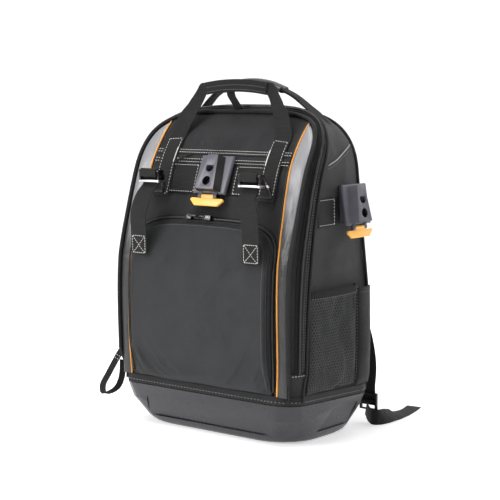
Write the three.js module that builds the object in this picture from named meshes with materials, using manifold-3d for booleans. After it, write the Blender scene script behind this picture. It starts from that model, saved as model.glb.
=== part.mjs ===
// A tool backpack: a padded fabric bag on a moulded tray, with two tool hubs, carry handles,
// pockets and padded shoulder straps. Millimetres, +Z up, the front faces -Y, the tray stands on z = 0.
import * as THREE from 'three';
import { mergeVertices } from 'three/addons/utils/BufferGeometryUtils.js';
import Module from 'manifold-3d';

const wasm = await Module();
wasm.setup();

// Main sizes
const BAG_HALF_WIDTH = 178;
const BAG_DEPTH = 225;
const BAG_TOP = 518;
const SHOULDER_Z = 405;
const WALL = 3;
const GAP = 0.3;
const BACK_TAPER = 0.13;
const BACK_TAPER_FROM = 230;
const BACK_EDGE = 6;
const SIDE_BULGE = 5;
const ZIP_BULGE = 3;

// Tray
const TRAY_HALF_WIDTH = 177;
const TRAY_RIM_FRONT = 67;
const TRAY_RIM_BACK = 58;
const TRAY_CORNER = 40;
const TRAY_WALL = 4.5;
const TRAY_FOOT_SIDE = 19;
const TRAY_FOOT_FRONT = 26;
const TRAY_FOOT_BACK = 14;
const RECESS_DEPTH = 2;
const BAND_HEIGHT = 15;
const BAND_THICKNESS = 1.6;

// Webbing, piping and other trim
const WEB_WIDTH = 33;
const WEB_THICKNESS = 1.6;
const PIPING_RADIUS = 1.9;
const RIM_PIPING_RADIUS = 3.2;
const SEAM_PIPING_RADIUS = 2.4;
const TAPE = 1.4;
const ZIP_THICKNESS = 2.2;
const PATCH_TOP_SHARE = 0.15;

// Front details
const STRIP_EDGE_GAP = 0.6;
const ZIP_BAND_LOW = 427;
const ZIP_BAND_HIGH = 444;
const CORD_RADIUS = 1.7;
const HUB_PATCH_LOW = 376;
const HUB_PATCH_HIGH = 424;
const HUB_PATCH_HALF = 104;

// Front pocket
const POCKET_HALF = 140;
const POCKET_LOW = 84;
const POCKET_TOP = 337;
const POCKET_SHOULDER = 275;
const POCKET_DEPTH = 19;
const POCKET_WALL = 2;
const POCKET_ZIP_STAND = 4;
const POCKET_ZIP_WIDTH = 5;
const SLIDER_LENGTH = 13;
const SLIDER_HEIGHT = 8;
const SLIDER_THICKNESS = 5;
const PULL_RING_RADIUS = 7;
const PULL_WIRE = 1.3;

// Tool hubs
const HUB_WIDTH = 65;
const HUB_HEIGHT = 63;
const HUB_PLATE = 5;
const HUB_WEDGE = 12;
const HUB_WEDGE_TOP = 26;
const HUB_WEDGE_BOTTOM = 42;
const HUB_HOLE_RADIUS = 7.5;
const HUB_HOLE_DEPTH = 11;
const HUB_HOLE_HIGH = 7;
const HUB_HOLE_LOW = -15;
const TAB_PIN_RADIUS = 3;
const TAB_LUG_RADIUS = 3.6;
const TAB_LUG_IN = 12.5;
const TAB_LUG_OUT = 18.5;
const TAB_HALF = 33;
const TAB_HEIGHT = 12;
const TAB_THICKNESS = 4;
const TAB_CLEARANCE = 0.5;
const FRONT_HUB_Z = 409;
const FRONT_HUB_LEAN = 24;
const SIDE_HUB_Y = 43;
const SIDE_HUB_Z = 364;
const SIDE_HUB_STAND = 9;
const SIDE_HUB_OUT = BAG_HALF_WIDTH + SIDE_HUB_STAND;
const SIDE_HUB_LEAN = 10;
const SIDE_PATCH_FRONT = -50;
const SIDE_PATCH_BACK = 78;
const SIDE_PATCH_LOW = 332;
const SIDE_PATCH_HIGH = 378;
const SIDE_PATCH_DEPTH = 6;

// Handles
const LEG_X = 106;
const LEG_SEWN_TOP = 467;
const LEG_LOOP_Z = 371;
const GRIP_HALF = 62;
const GRIP_Z = 541;
const GRIP_Y = -22;
const GRIP_HEIGHT = 20;
const GRIP_THICKNESS = 5;
const GRIP_RISE = 5;
const SLEEVE_HALF = 62;
const SLEEVE_Z = 552;
const SLEEVE_Y = 20;
const SLEEVE_THICKNESS = 11;
const KEEPER_WIDTH = 16;
const KEEPER_X = -14;
const SLEEVE_RISE = 13;
const SLEEVE_WIDTH = 24;
const REAR_FOOT_X = 134;
const REAR_FOOT_Y = 38;
const REAR_FOOT_Z = 479;

// Compression straps
const XBOX_X = 113;
const XBOX_LOW = 280;
const XBOX_HIGH = 313;
const BUCKLE_X = 101;
const BUCKLE_Y = -116;
const BUCKLE_Z = 404;
const BUCKLE_WIDTH = 41;
const BUCKLE_HEIGHT = 20;
const BUCKLE_BAR = 2.4;
const HOOK_RADIUS = 2.6;
const HOOK_REACH = 10;
const HOOK_TIP_X = 109;
const HOOK_TIP_HALF = 13;
const HOOK_TIP_RISE = 7;
const HOOK_TIP_STAND = 9;

// Main zip slider and its pull
const MAIN_SLIDER_Z = 136;
const MAIN_SLIDER_THICKNESS = 6;
const MAIN_SLIDER_WIDTH = 10;
const MAIN_SLIDER_HEIGHT = 16;
const LOOP_RING = 6;
const LOOP_WIDTH = 11;

// Side pockets
const MESH_FRONT = -72;
const MESH_BACK = 54;
const MESH_TOP = 238;
const MESH_DEPTH = 15;
const SLOT_BACK = 93;
const SLOT_TOP = 232;
const SLOT_DEPTH = 10;
const SIDE_WALL = 2;
const HEM_HEIGHT = 11;

// Back and shoulder straps
const PAD_THICKNESS = 12;
const PAD_LOW = 95;
const PAD_HIGH = 470;
const PAD_HALF = 112;
const STRAP_WIDTH = 62;
const STRAP_PAD = 11;
const STRAP_X = 62;
const PAD_CORNER = 36;
const TAIL_WIDTH = 25;
const TAIL_REACH = 136;
const LOCK_X = 151;
const LOCK_Y = 134;
const LOCK_Z = 34;
const LOCK_WIDTH = 33;
const LOCK_HEIGHT = 28;
const LOCK_THICKNESS = 5;

const MAIN_SLIDER_OUT = ZIP_THICKNESS + MAIN_SLIDER_THICKNESS / 2 + GAP;

// How far the gusset's outward direction is turned from the bag's side.
const GUSSET_TURN = 0.35;

const HALF_DEPTH = BAG_DEPTH / 2;
const BACK_Y = HALF_DEPTH - BAND_THICKNESS - 2 * GAP;

// How far the front and the side seam stand forward of the middle of the bag.
// height is a share of BAG_TOP, forward a share of half the depth.
const FRONT_PROFILE = [
  { height: 0.120, forward: 0.950 },
  { height: 0.386, forward: 0.987 },
  { height: 0.521, forward: 0.962 },
  { height: 0.598, forward: 0.885 },
  { height: 0.662, forward: 0.800 },
  { height: 0.749, forward: 0.680 },
  { height: 0.826, forward: 0.547 },
  { height: 0.900, forward: 0.325 },
  { height: 0.956, forward: 0.085 },
  { height: 0.984, forward: -0.030 },
];
const SEAM_PROFILE = [
  { height: 0.120, forward: 0.729 },
  { height: 0.220, forward: 0.716 },
  { height: 0.436, forward: 0.660 },
  { height: 0.637, forward: 0.545 },
  { height: 0.782, forward: 0.400 },
  { height: 0.851, forward: 0.260 },
  { height: 0.927, forward: 0.060 },
  { height: 1.000, forward: -0.250 },
];

// The seams that ring the bag from front to back. width is a share of BAG_HALF_WIDTH,
// top of BAG_TOP, and power says how square the arch over the shoulders is.
const RIM = { width: 0.955, top: 0.973, power: 4.2, taper: 0 };
const SEAM = { width: 1.01, top: 0.988, power: 3.2, taper: 0 };
const BACK = { width: 0.933, top: 0.968, power: 2.7, taper: BACK_TAPER };

// Stations down a side, as shares from the tray's rim to the shoulder, and steps round the arch.
const SIDE_ROWS = [0, 0.046, PATCH_TOP_SHARE, 0.27, 0.4, 0.54, 0.68, 0.84, 1];
const ARCH_STEPS = 9;
const STATIONS = SIDE_ROWS.length * 2 + (ARCH_STEPS - 1) * 2 + 1;
const TUCK_LOW = TRAY_RIM_FRONT + BAND_HEIGHT;
const TUCK_HIGH = TUCK_LOW + 42;

// Depth stations of the bag: 0 is the front rim, 1 the side seam, 2 the back.
const ZIP_FRONT = 0.3;
const ZIP_BACK = 0.7;
const DEPTH_STATIONS = [0, ZIP_FRONT, ZIP_BACK, 1, 1.5, 1.93];

const V = (x, y, z) => new THREE.Vector3(x, y, z);
const mix = (a, b, t) => a + (b - a) * t;

function smooth(from, to, value) {
  const t = Math.min(Math.max((value - from) / (to - from), 0), 1);
  return t * t * (3 - 2 * t);
}

function along(profile, z) {
  const height = z / BAG_TOP;
  let i = 1;
  while (i < profile.length - 1 && profile[i].height < height) i += 1;
  const [a, b] = [profile[i - 1], profile[i]];
  const t = (height - a.height) / (b.height - a.height);
  return -HALF_DEPTH * mix(a.forward, b.forward, t);
}

const frontY = (z) => along(FRONT_PROFILE, z);
const seamY = (z) => along(SEAM_PROFILE, z);
const rimZ = (y) => mix(TRAY_RIM_FRONT, TRAY_RIM_BACK, (y + HALF_DEPTH) / BAG_DEPTH);

// Geometry helpers
function toGeometry(positions) {
  const geometry = new THREE.BufferGeometry();
  geometry.setAttribute('position', new THREE.Float32BufferAttribute(positions, 3));
  return geometry;
}

// A closed skin through a row of loops with equal point counts, capped at both ends.
function loft(loops) {
  const out = [];
  const tri = (a, b, c) => out.push(...a.toArray(), ...b.toArray(), ...c.toArray());
  const count = loops[0].length;
  for (let j = 0; j + 1 < loops.length; j += 1) {
    for (let i = 0; i < count; i += 1) {
      const k = (i + 1) % count;
      tri(loops[j][i], loops[j][k], loops[j + 1][k]);
      tri(loops[j][i], loops[j + 1][k], loops[j + 1][i]);
    }
  }
  for (const [loop, turned] of [[loops[0], true], [loops.at(-1), false]]) {
    const centre = loop.reduce((sum, p) => sum.add(p), V(0, 0, 0)).divideScalar(count);
    for (let i = 0; i < count; i += 1) {
      const [a, b] = [loop[i], loop[(i + 1) % count]];
      if (turned) tri(centre, b, a);
      else tri(centre, a, b);
    }
  }
  return toGeometry(out);
}

function solid(geometry) {
  const plain = geometry.index ? geometry.toNonIndexed() : geometry.clone();
  plain.deleteAttribute('normal');
  plain.deleteAttribute('uv');
  const merged = mergeVertices(plain, 1e-4);
  const make = (triVerts) => new wasm.Manifold(new wasm.Mesh({
    numProp: 3,
    vertProperties: merged.attributes.position.array,
    triVerts,
  }));
  const faces = new Uint32Array(merged.index.array);
  const made = make(faces);
  if (made.volume() > 0) return made;
  return make(faces.reverse());
}

const loftSolid = (loops) => solid(loft(loops));

function fromSolid(made) {
  const mesh = made.getMesh();
  const out = [];
  for (const v of mesh.triVerts) {
    const at = v * mesh.numProp;
    out.push(mesh.vertProperties[at], mesh.vertProperties[at + 1], mesh.vertProperties[at + 2]);
  }
  return toGeometry(out);
}

function placed(geometry, position, turn = [0, 0, 0]) {
  const matrix = new THREE.Matrix4().compose(
    V(...position),
    new THREE.Quaternion().setFromEuler(new THREE.Euler(...turn, 'ZYX')),
    V(1, 1, 1),
  );
  return geometry.clone().applyMatrix4(matrix);
}

const boxSolid = (size, at, turn) => solid(placed(new THREE.BoxGeometry(...size), at, turn));

// A flat outline of [x, z] points, drawn out along Y from y0 to y1.
function prismY(points, y0, y1) {
  const loops = [y0, y1].map((y) => points.map(([x, z]) => V(x, y, z)));
  return loftSolid(loops);
}

const frameBox = (x0, x1, z0, z1) => [[x0, z0], [x1, z0], [x1, z1], [x0, z1]];

// A flat band along a path: each row has its point and the direction across the band.
function ribbon(rows, width, thickness) {
  const loops = rows.map(({ at, across, wide = width, thick = thickness }, i) => {
    const before = rows[Math.max(i - 1, 0)].at;
    const after = rows[Math.min(i + 1, rows.length - 1)].at;
    const tangent = after.clone().sub(before).normalize();
    const side = across.clone().addScaledVector(tangent, -across.dot(tangent)).normalize();
    const out = tangent.clone().cross(side).normalize();
    const corner = (s, t) => at.clone()
      .addScaledVector(side, s * wide / 2)
      .addScaledVector(out, t * thick / 2);
    return [corner(-1, -1), corner(1, -1), corner(1, 1), corner(-1, 1)];
  });
  return loft(loops);
}

// A padded band: like a ribbon, with its long edges rounded.
function padBand(rows, width, thickness) {
  const loops = rows.map(({ at, across, wide = width, thick = thickness }, i) => {
    const before = rows[Math.max(i - 1, 0)].at;
    const after = rows[Math.min(i + 1, rows.length - 1)].at;
    const tangent = after.clone().sub(before).normalize();
    const side = across.clone().addScaledVector(tangent, -across.dot(tangent)).normalize();
    const out = tangent.clone().cross(side).normalize();
    const shares = [[-1, 0], [-0.93, -0.7], [-0.75, -1], [0.75, -1], [0.93, -0.7],
      [1, 0], [0.93, 0.7], [0.75, 1], [-0.75, 1], [-0.93, 0.7]];
    return shares.map(([s, t]) => at.clone()
      .addScaledVector(side, s * wide / 2)
      .addScaledVector(out, t * thick / 2));
  });
  return loft(loops);
}

// The bag's own surface
const ringWidth = (ring, z) => BAG_HALF_WIDTH * ring.width
  - ring.taper * Math.max(z - BACK_TAPER_FROM, 0);

// The x and z of one station of a ring, grown outwards by out.
function ringXZ(ring, station, out, drop) {
  const last = STATIONS - 1;
  const right = station <= last / 2;
  const k = right ? station : last - station;
  const sign = right ? 1 : -1;
  const low = TRAY_RIM_BACK - drop;
  if (k < SIDE_ROWS.length) {
    const z = k === 0 ? low : mix(TRAY_RIM_FRONT, SHOULDER_Z, SIDE_ROWS[k]);
    return [sign * (ringWidth(ring, z) + out), z];
  }
  const angle = ((k - SIDE_ROWS.length + 1) / ARCH_STEPS) * (Math.PI / 2);
  const rise = Math.sin(angle) ** (2 / ring.power);
  const reach = Math.max(Math.cos(angle), 0) ** (2 / ring.power);
  const z = SHOULDER_Z + (BAG_TOP * ring.top + out - SHOULDER_Z) * rise;
  return [sign * (ringWidth(ring, Math.min(z, BAG_TOP)) + out) * reach, z];
}

// Pulls a low point inside the tray's rim, and lets it go between the two tuck heights.
function tuck(point, out) {
  const inset = BAND_THICKNESS + 2 * GAP - out;
  const radius = TRAY_CORNER - inset;
  const cx = TRAY_HALF_WIDTH - inset - radius;
  const cy = HALF_DEPTH - inset - radius;
  const dx = Math.max(Math.abs(point.x) - cx, 0);
  const dy = Math.max(Math.abs(point.y) - cy, 0);
  const reach = Math.hypot(dx, dy);
  if (reach <= radius) return point;
  const pull = mix(radius / reach, 1, smooth(TUCK_LOW, TUCK_HIGH, point.z));
  const x = Math.sign(point.x) * (Math.abs(point.x) - dx + dx * pull);
  const y = Math.sign(point.y) * (Math.abs(point.y) - dy + dy * pull);
  return V(x, y, point.z);
}

// A point of the bag at depth station v, grown outwards by out.
function bagPoint(v, station, out = 0, drop = 0) {
  const [x0, z0] = ringXZ(RIM, station, out, drop);
  const [x1, z1] = ringXZ(SEAM, station, out, drop);
  const [x2, z2] = ringXZ(BACK, station, out, drop);
  const sign = Math.sign(x1) || 0;
  if (v <= 1) {
    const bow = ZIP_BULGE * Math.sin(Math.PI * v);
    const z = mix(z0, z1, v);
    const upper = smooth(SHOULDER_Z, BAG_TOP, z);
    const y = mix(frontY(Math.max(z0, POCKET_LOW)) - out, seamY(Math.max(z1, POCKET_LOW)), v);
    return tuck(V(mix(x0, x1, v) + sign * bow * (1 - upper), y, z + bow * upper), out);
  }
  const t = v - 1;
  const bow = SIDE_BULGE * Math.sin(Math.PI * t);
  const z = mix(z1, z2, t);
  const upper = smooth(SHOULDER_Z, BAG_TOP, z);
  const y = mix(seamY(Math.max(z1, POCKET_LOW)), BACK_Y + out, t);
  return tuck(V(mix(x1, x2, t) + sign * bow * (1 - upper), y, z + bow * upper), out);
}

function bagLoop(v, out = 0, drop = 0) {
  return Array.from({ length: STATIONS }, (_, i) => bagPoint(v, i, out, drop));
}

const flatLoop = (loop, y) => loop.map((p) => V(p.x, y, p.z));

// The edge of the flat back, inset by the rounding of its edge.
function backLoop(out, edge, drop = 0) {
  const flat = flatLoop(bagLoop(2, out - edge, drop), BACK_Y + out);
  return flat.map((p) => tuck(p, out));
}

// The whole outer form, grown by out: what lies on the bag is cut back to it.
function bagForm(out, drop = 0) {
  const loops = DEPTH_STATIONS.map((v) => bagLoop(v, out, drop));
  loops.push(backLoop(out, BACK_EDGE, drop));
  return loops;
}

// Cuts the sloping seat of the tray's rim out of a solid, leaving what is above it.
function aboveRim(made, lift) {
  const reach = BAG_DEPTH;
  const under = [-reach, reach].map((x) => [
    V(x * 2, -reach, -reach),
    V(x * 2, reach, -reach),
    V(x * 2, reach, rimZ(reach) + lift),
    V(x * 2, -reach, rimZ(-reach) + lift),
  ]);
  return made.subtract(loftSolid(under));
}

const FORM_CLEAR = loftSolid(bagForm(GAP));
const PIPED_CLEAR = loftSolid(bagForm(2 * SEAM_PIPING_RADIUS));

function makeShell() {
  const outer = loftSolid(bagForm(0));
  const inner = DEPTH_STATIONS.map((v) => bagLoop(v, -WALL, BAND_HEIGHT * 4));
  inner.unshift(flatLoop(inner[0], -BAG_DEPTH));
  inner.push(backLoop(-WALL, BACK_EDGE / 2, BAND_HEIGHT * 4));
  return aboveRim(outer.subtract(loftSolid(inner)), GAP);
}

// The front panel's own surface, moved forward by out at right angles to it.
function frontLine(out) {
  const rows = FRONT_PROFILE.map(({ height }) => V(0, frontY(height * BAG_TOP), height * BAG_TOP));
  return rows.map((row, i) => {
    const below = rows[Math.max(i - 1, 0)];
    const above = rows[Math.min(i + 1, rows.length - 1)];
    const slope = (above.y - below.y) / (above.z - below.z);
    return V(0, row.y - out * Math.hypot(1, slope), row.z);
  });
}

// A plate that follows the front between two offsets, drawn across the whole width.
function frontPlate(low, high) {
  const front = frontLine(high);
  const back = frontLine(low).reverse();
  const line = [...front, ...back];
  const loops = [-1, 1].map((side) => line.map((p) => V(side * BAG_HALF_WIDTH * 1.2, p.y, p.z)));
  return solid(stripLoft(loops, FRONT_PROFILE.length));
}

// A loft of two mirrored long loops whose caps are quads between their two edges.
function stripLoft(loops, rows) {
  const out = [];
  const tri = (a, b, c) => out.push(...a.toArray(), ...b.toArray(), ...c.toArray());
  const count = loops[0].length;
  const [left, right] = loops;
  for (let i = 0; i < count; i += 1) {
    const k = (i + 1) % count;
    tri(left[i], left[k], right[k]);
    tri(left[i], right[k], right[i]);
  }
  for (let i = 0; i + 1 < rows; i += 1) {
    const [a, b] = [i, i + 1];
    const [c, d] = [count - 2 - i, count - 1 - i];
    tri(left[a], left[c], left[b]);
    tri(left[a], left[d], left[c]);
    tri(right[a], right[b], right[c]);
    tri(right[a], right[c], right[d]);
  }
  return toGeometry(out);
}

const BEHIND = BAG_DEPTH * 2;

function frontPiece(outline, low, high) {
  const prism = prismY(outline, -BEHIND, BEHIND);
  return frontPlate(low, high).intersect(prism);
}

// The space behind the front surface moved forward by out.
function behindFront(out) {
  const front = frontLine(out);
  const back = front.map((p) => V(0, BEHIND, p.z)).reverse();
  const line = [...front, ...back];
  const loops = [-1, 1].map((side) => line.map((p) => V(side * BAG_HALF_WIDTH * 1.2, p.y, p.z)));
  return solid(stripLoft(loops, FRONT_PROFILE.length));
}

// The outline of the front opening, inset from the front rim.
function openingOutline(inset) {
  const loop = bagLoop(0, -inset);
  return loop.map((p) => [p.x, p.z]);
}

// The orange piping's distance from the middle, by share of the height.
const PIPING_LINE = [
  { height: 0.163, x: 0.834 },
  { height: 0.270, x: 0.848 },
  { height: 0.535, x: 0.837 },
  { height: 0.650, x: 0.815 },
  { height: 0.820, x: 0.786 },
  { height: 0.938, x: 0.783 },
];
const pipingPoint = (row, side) => [side * row.x * BAG_HALF_WIDTH, row.height * BAG_TOP];

function stripOutline(side) {
  const inner = PIPING_LINE.map((row) => pipingPoint(row, side))
    .map(([x, z]) => [x + side * (PIPING_RADIUS + GAP), z]);
  const outer = [...inner].reverse().map(([, z]) => [side * BAG_HALF_WIDTH * 1.1, z]);
  return side > 0 ? [...inner, ...outer] : [...inner, ...outer].reverse();
}

function makeStrip(side) {
  const opening = prismY(openingOutline(WALL + STRIP_EDGE_GAP), -BEHIND, BEHIND);
  return frontPiece(stripOutline(side), GAP, GAP + TAPE).intersect(opening);
}

function frontPoint(x, z, out) {
  const line = frontLine(out);
  let i = 1;
  while (i < line.length - 1 && line[i].z < z) i += 1;
  const [a, b] = [line[i - 1], line[i]];
  return V(x, mix(a.y, b.y, (z - a.z) / (b.z - a.z)), z);
}

// The line's distance from the middle at one height.
function pipingX(z) {
  let i = 1;
  while (i < PIPING_LINE.length - 1 && PIPING_LINE[i].height * BAG_TOP < z) i += 1;
  const [low, high] = [PIPING_LINE[i - 1], PIPING_LINE[i]];
  const t = (z / BAG_TOP - low.height) / (high.height - low.height);
  return mix(low.x, high.x, t) * BAG_HALF_WIDTH;
}

function makePiping(side) {
  const ends = [PIPING_LINE[0].height, PIPING_LINE.at(-1).height];
  const heights = [...PIPING_LINE, ...FRONT_PROFILE].map((row) => row.height)
    .filter((height) => height >= ends[0] && height <= ends[1]);
  const rows = [...new Set(heights)].sort((low, high) => low - high);
  const points = rows.map((height) => {
    const z = height * BAG_TOP;
    return frontPoint(side * pipingX(z), z, PIPING_RADIUS + GAP);
  });
  return rod(points, PIPING_RADIUS, 6);
}

function bagNormal(v, station) {
  const [low, high] = [Math.max(station - 1, 0), Math.min(station + 1, STATIONS - 1)];
  const run = bagPoint(v, high).sub(bagPoint(v, low));
  const step = 0.08;
  const [near, far] = [Math.max(v - step, 0), Math.min(v + step, 1.93)];
  const back = bagPoint(far, station).sub(bagPoint(near, station));
  return back.cross(run).normalize();
}

// A rod with straight runs between its points, and one ring of corners at each.
function rod(points, radius, sides = 5, up = V(0, -1, 0)) {
  const loops = points.map((at, i) => {
    const before = points[Math.max(i - 1, 0)];
    const after = points[Math.min(i + 1, points.length - 1)];
    const tangent = after.clone().sub(before).normalize();
    const side = up.clone().cross(tangent).normalize();
    const top = tangent.clone().cross(side).normalize();
    return Array.from({ length: sides }, (_, k) => {
      const a = (k / sides) * Math.PI * 2;
      return at.clone()
        .addScaledVector(side, radius * Math.cos(a))
        .addScaledVector(top, radius * Math.sin(a));
    });
  });
  return loft(loops);
}

// Piping that runs along one seam of the bag over the arch.
function seamPiping(v, radius, first, forward = 0) {
  const points = [];
  for (let i = first; i < STATIONS - first; i += 1) {
    const normal = bagNormal(v, i).add(V(0, -forward, 0)).normalize();
    points.push(bagPoint(v, i).addScaledVector(normal, radius + 2 * GAP));
  }
  return rod(points, radius, 6);
}

// A strip that follows the bag between depth stations vs, over the stations first to last.
function gussetStrip(vs, first, last, low, high) {
  const loops = [];
  for (let i = first; i <= last; i += 1) {
    const over = vs.map((v) => bagPoint(v, i, high));
    const under = vs.map((v) => bagPoint(v, i, low)).reverse();
    loops.push([...over, ...under]);
  }
  return loftSolid(loops).subtract(FORM_CLEAR);
}

// Tray
function trayLoop(z, side, front, back, grow = 0) {
  const points = [];
  const steps = 5;
  for (const [sx, sy, from] of [[1, 1, 0], [-1, 1, 90], [-1, -1, 180], [1, -1, 270]]) {
    const depth = HALF_DEPTH - (sy < 0 ? front : back) + grow;
    const width = TRAY_HALF_WIDTH - side + grow;
    const radius = TRAY_CORNER + side + grow;
    for (let i = 0; i <= steps; i += 1) {
      const a = THREE.MathUtils.degToRad(from + (90 * i) / steps);
      const x = sx * (width - radius) + radius * Math.cos(a);
      const y = sy * (depth - radius) + radius * Math.sin(a);
      points.push(V(x, y, z === null ? rimZ(y) : z));
    }
  }
  return points;
}

// Tray sections: height as a share of the front rim, foot is the share of the inset there.
const TRAY_SECTIONS = [
  { height: 0, foot: 1.28 },
  { height: 0.05, foot: 1.06 },
  { height: 0.15, foot: 0.86 },
  { height: 0.62, foot: 0.22 },
];

function trayLoops(grow, floor) {
  const loops = TRAY_SECTIONS.map(({ height, foot }) => trayLoop(
    Math.max(height * TRAY_RIM_FRONT, floor),
    TRAY_FOOT_SIDE * foot,
    TRAY_FOOT_FRONT * foot,
    TRAY_FOOT_BACK * foot,
    grow,
  )).filter((loop, i) => TRAY_SECTIONS[i].height * TRAY_RIM_FRONT >= floor || i === 1);
  return loops;
}

// The shallow panels of the tray: the wall's own plane between two heights, moved in.
function recessTool(corners, inward) {
  const outer = corners.map((p) => p.clone().addScaledVector(inward, -12));
  const inner = corners.map((p) => p.clone().addScaledVector(inward, RECESS_DEPTH));
  return loftSolid([outer, inner]);
}

function wallAt(z, foot) {
  const [low, high] = TRAY_SECTIONS.slice(2);
  const t = (z / TRAY_RIM_FRONT - low.height) / (high.height - low.height);
  return foot * mix(low.foot, high.foot, t);
}

function makeTray() {
  const outer = loftSolid([...trayLoops(0, 0), trayLoop(null, 0, 0, 0)]);
  const high = trayLoop(null, 0, 0, 0, -TRAY_WALL).map((p) => V(p.x, p.y, p.z + BAND_HEIGHT));
  const inner = loftSolid([...trayLoops(-TRAY_WALL, TRAY_WALL), trayLoop(null, 0, 0, 0, -TRAY_WALL), high]);
  let tray = outer.subtract(inner);
  const low = 0.2 * TRAY_RIM_FRONT;
  const top = 0.78 * TRAY_RIM_FRONT;
  const frontAt = (x, z) => V(x, -HALF_DEPTH + wallAt(z, TRAY_FOOT_FRONT), z);
  const lean = new THREE.Vector3(0, 1, 0);
  const half = TRAY_HALF_WIDTH - TRAY_CORNER;
  const front = [frontAt(-0.93 * half, low), frontAt(0.99 * half, low),
    frontAt(0.93 * half, top), frontAt(-0.84 * half, top)];
  tray = tray.subtract(recessTool(front, lean));
  for (const side of [1, -1]) {
    const sideAt = (y, z) => V(side * (TRAY_HALF_WIDTH - wallAt(z, TRAY_FOOT_SIDE)), y, z);
    const rim = 0.7 * TRAY_RIM_FRONT;
    const panel = [sideAt(-0.23 * HALF_DEPTH, low), sideAt(0.52 * HALF_DEPTH, low),
      sideAt(0.6 * HALF_DEPTH, rim), sideAt(0, rim + 2)];
    tray = tray.subtract(recessTool(panel, V(-side, 0, 0)));
  }
  return tray;
}

function makeBand() {
  const ring = (grow, lift) => trayLoop(null, 0, 0, 0, grow).map((p) => V(p.x, p.y, p.z + lift));
  const outer = loftSolid([ring(0, GAP), ring(0, BAND_HEIGHT)]);
  const inner = loftSolid([ring(-BAND_THICKNESS, -1), ring(-BAND_THICKNESS, BAND_HEIGHT + 1)]);
  return outer.subtract(inner);
}

// The band's own space and what is outside it, with its clearance.
function bandClear() {
  const ring = (grow, lift) => trayLoop(null, 0, 0, 0, grow).map((p) => V(p.x, p.y, p.z + lift));
  const outer = loftSolid([ring(BAND_HEIGHT, -BAND_HEIGHT), ring(BAND_HEIGHT, BAND_HEIGHT + GAP)]);
  const inset = -BAND_THICKNESS - GAP;
  const inner = loftSolid([ring(inset, -BAND_HEIGHT * 2), ring(inset, BAND_HEIGHT * 2)]);
  return outer.subtract(inner);
}

// Front pocket: arch outline, and rings from the panel out to the face.
function pocketOutline(inset, low = POCKET_LOW) {
  const points = [];
  const steps = 7;
  const power = 3.6;
  const half = POCKET_HALF - inset;
  const shoulder = POCKET_SHOULDER - Math.max(inset, 0);
  for (const side of [1, -1]) {
    const run = [];
    for (const t of [0, 0.35, 0.7, 1]) {
      run.push([side * half, mix(low + inset, shoulder, t)]);
    }
    for (let i = 1; i <= steps; i += 1) {
      const a = (i / steps) * (Math.PI / 2);
      const x = half * Math.max(Math.cos(a), 0) ** (2 / power);
      const z = shoulder + (POCKET_TOP - inset - shoulder) * Math.sin(a) ** (2 / power);
      if (side > 0 || i < steps) run.push([side * x, z]);
    }
    points.push(...(side > 0 ? run : run.reverse()));
  }
  return points;
}

// How far the pocket stands off the panel, by height: it lies flatter at the hem and the zip.
function pocketStand(z) {
  const low = smooth(POCKET_LOW - 30, POCKET_LOW + 70, z);
  const high = 1 - 0.35 * smooth(POCKET_SHOULDER, POCKET_TOP, z);
  return POCKET_DEPTH * low * high;
}

const POCKET_RINGS = [
  { inset: 0, stand: -0.6 },
  { inset: 0, stand: 0.5 },
  { inset: 1.5, stand: 0.8 },
  { inset: 6, stand: 0.95 },
  { inset: 22, stand: 1 },
  { inset: 70, stand: 1.05 },
];

function pocketForm(wall) {
  const loops = POCKET_RINGS.map(({ inset, stand }) => pocketOutline(inset + wall).map(([x, z]) => {
    const out = stand > 0 ? pocketStand(z) * stand - wall : POCKET_DEPTH * stand - wall * 8;
    return V(x, frontY(z) - out, z);
  }));
  return loftSolid(loops);
}

function makePocket() {
  return pocketForm(0).subtract(pocketForm(POCKET_WALL)).subtract(behindFront(GAP));
}

function makePocketZip() {
  const outer = prismY(pocketOutline(-POCKET_ZIP_WIDTH, POCKET_LOW + 2 * POCKET_ZIP_WIDTH), -BEHIND, BEHIND);
  const inner = prismY(pocketOutline(-GAP, POCKET_LOW - 40), -BEHIND, BEHIND);
  return frontPlate(GAP, POCKET_ZIP_STAND).intersect(outer).subtract(inner);
}

// A zip slider on the pocket's top edge, with its pull ring to one side.
function makePocketSlider(x, reach) {
  const z = POCKET_TOP + SLIDER_HEIGHT / 2 + 1;
  const at = frontPoint(x, z, 0);
  const lean = Math.atan2(frontPoint(x, z + 5, 0).y - at.y, 5);
  const off = POCKET_ZIP_STAND + 2 * GAP;
  const body = boxSolid(
    [SLIDER_LENGTH, SLIDER_THICKNESS, SLIDER_HEIGHT],
    [x, at.y - off - SLIDER_THICKNESS / 2 - 1, z],
    [-lean, 0, 0],
  );
  const ringAt = frontPoint(x + reach, z + 1, off + 3);
  const torus = new THREE.TorusGeometry(PULL_RING_RADIUS, PULL_WIRE, 5, 10);
  const ring = solid(placed(torus, ringAt.toArray(), [-lean, 0, 0]));
  const pocket = pocketForm(-GAP);
  return body.add(ring).subtract(behindFront(off)).subtract(pocket);
}

// Tool hub: x across, z up, the plate's front face on y = 0, facing -y.
const HUB_PIN_Z = -HUB_HEIGHT / 2 - TAB_LUG_RADIUS - TAB_CLEARANCE;
const HUB_PIN_Y = HUB_PLATE / 2;

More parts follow.
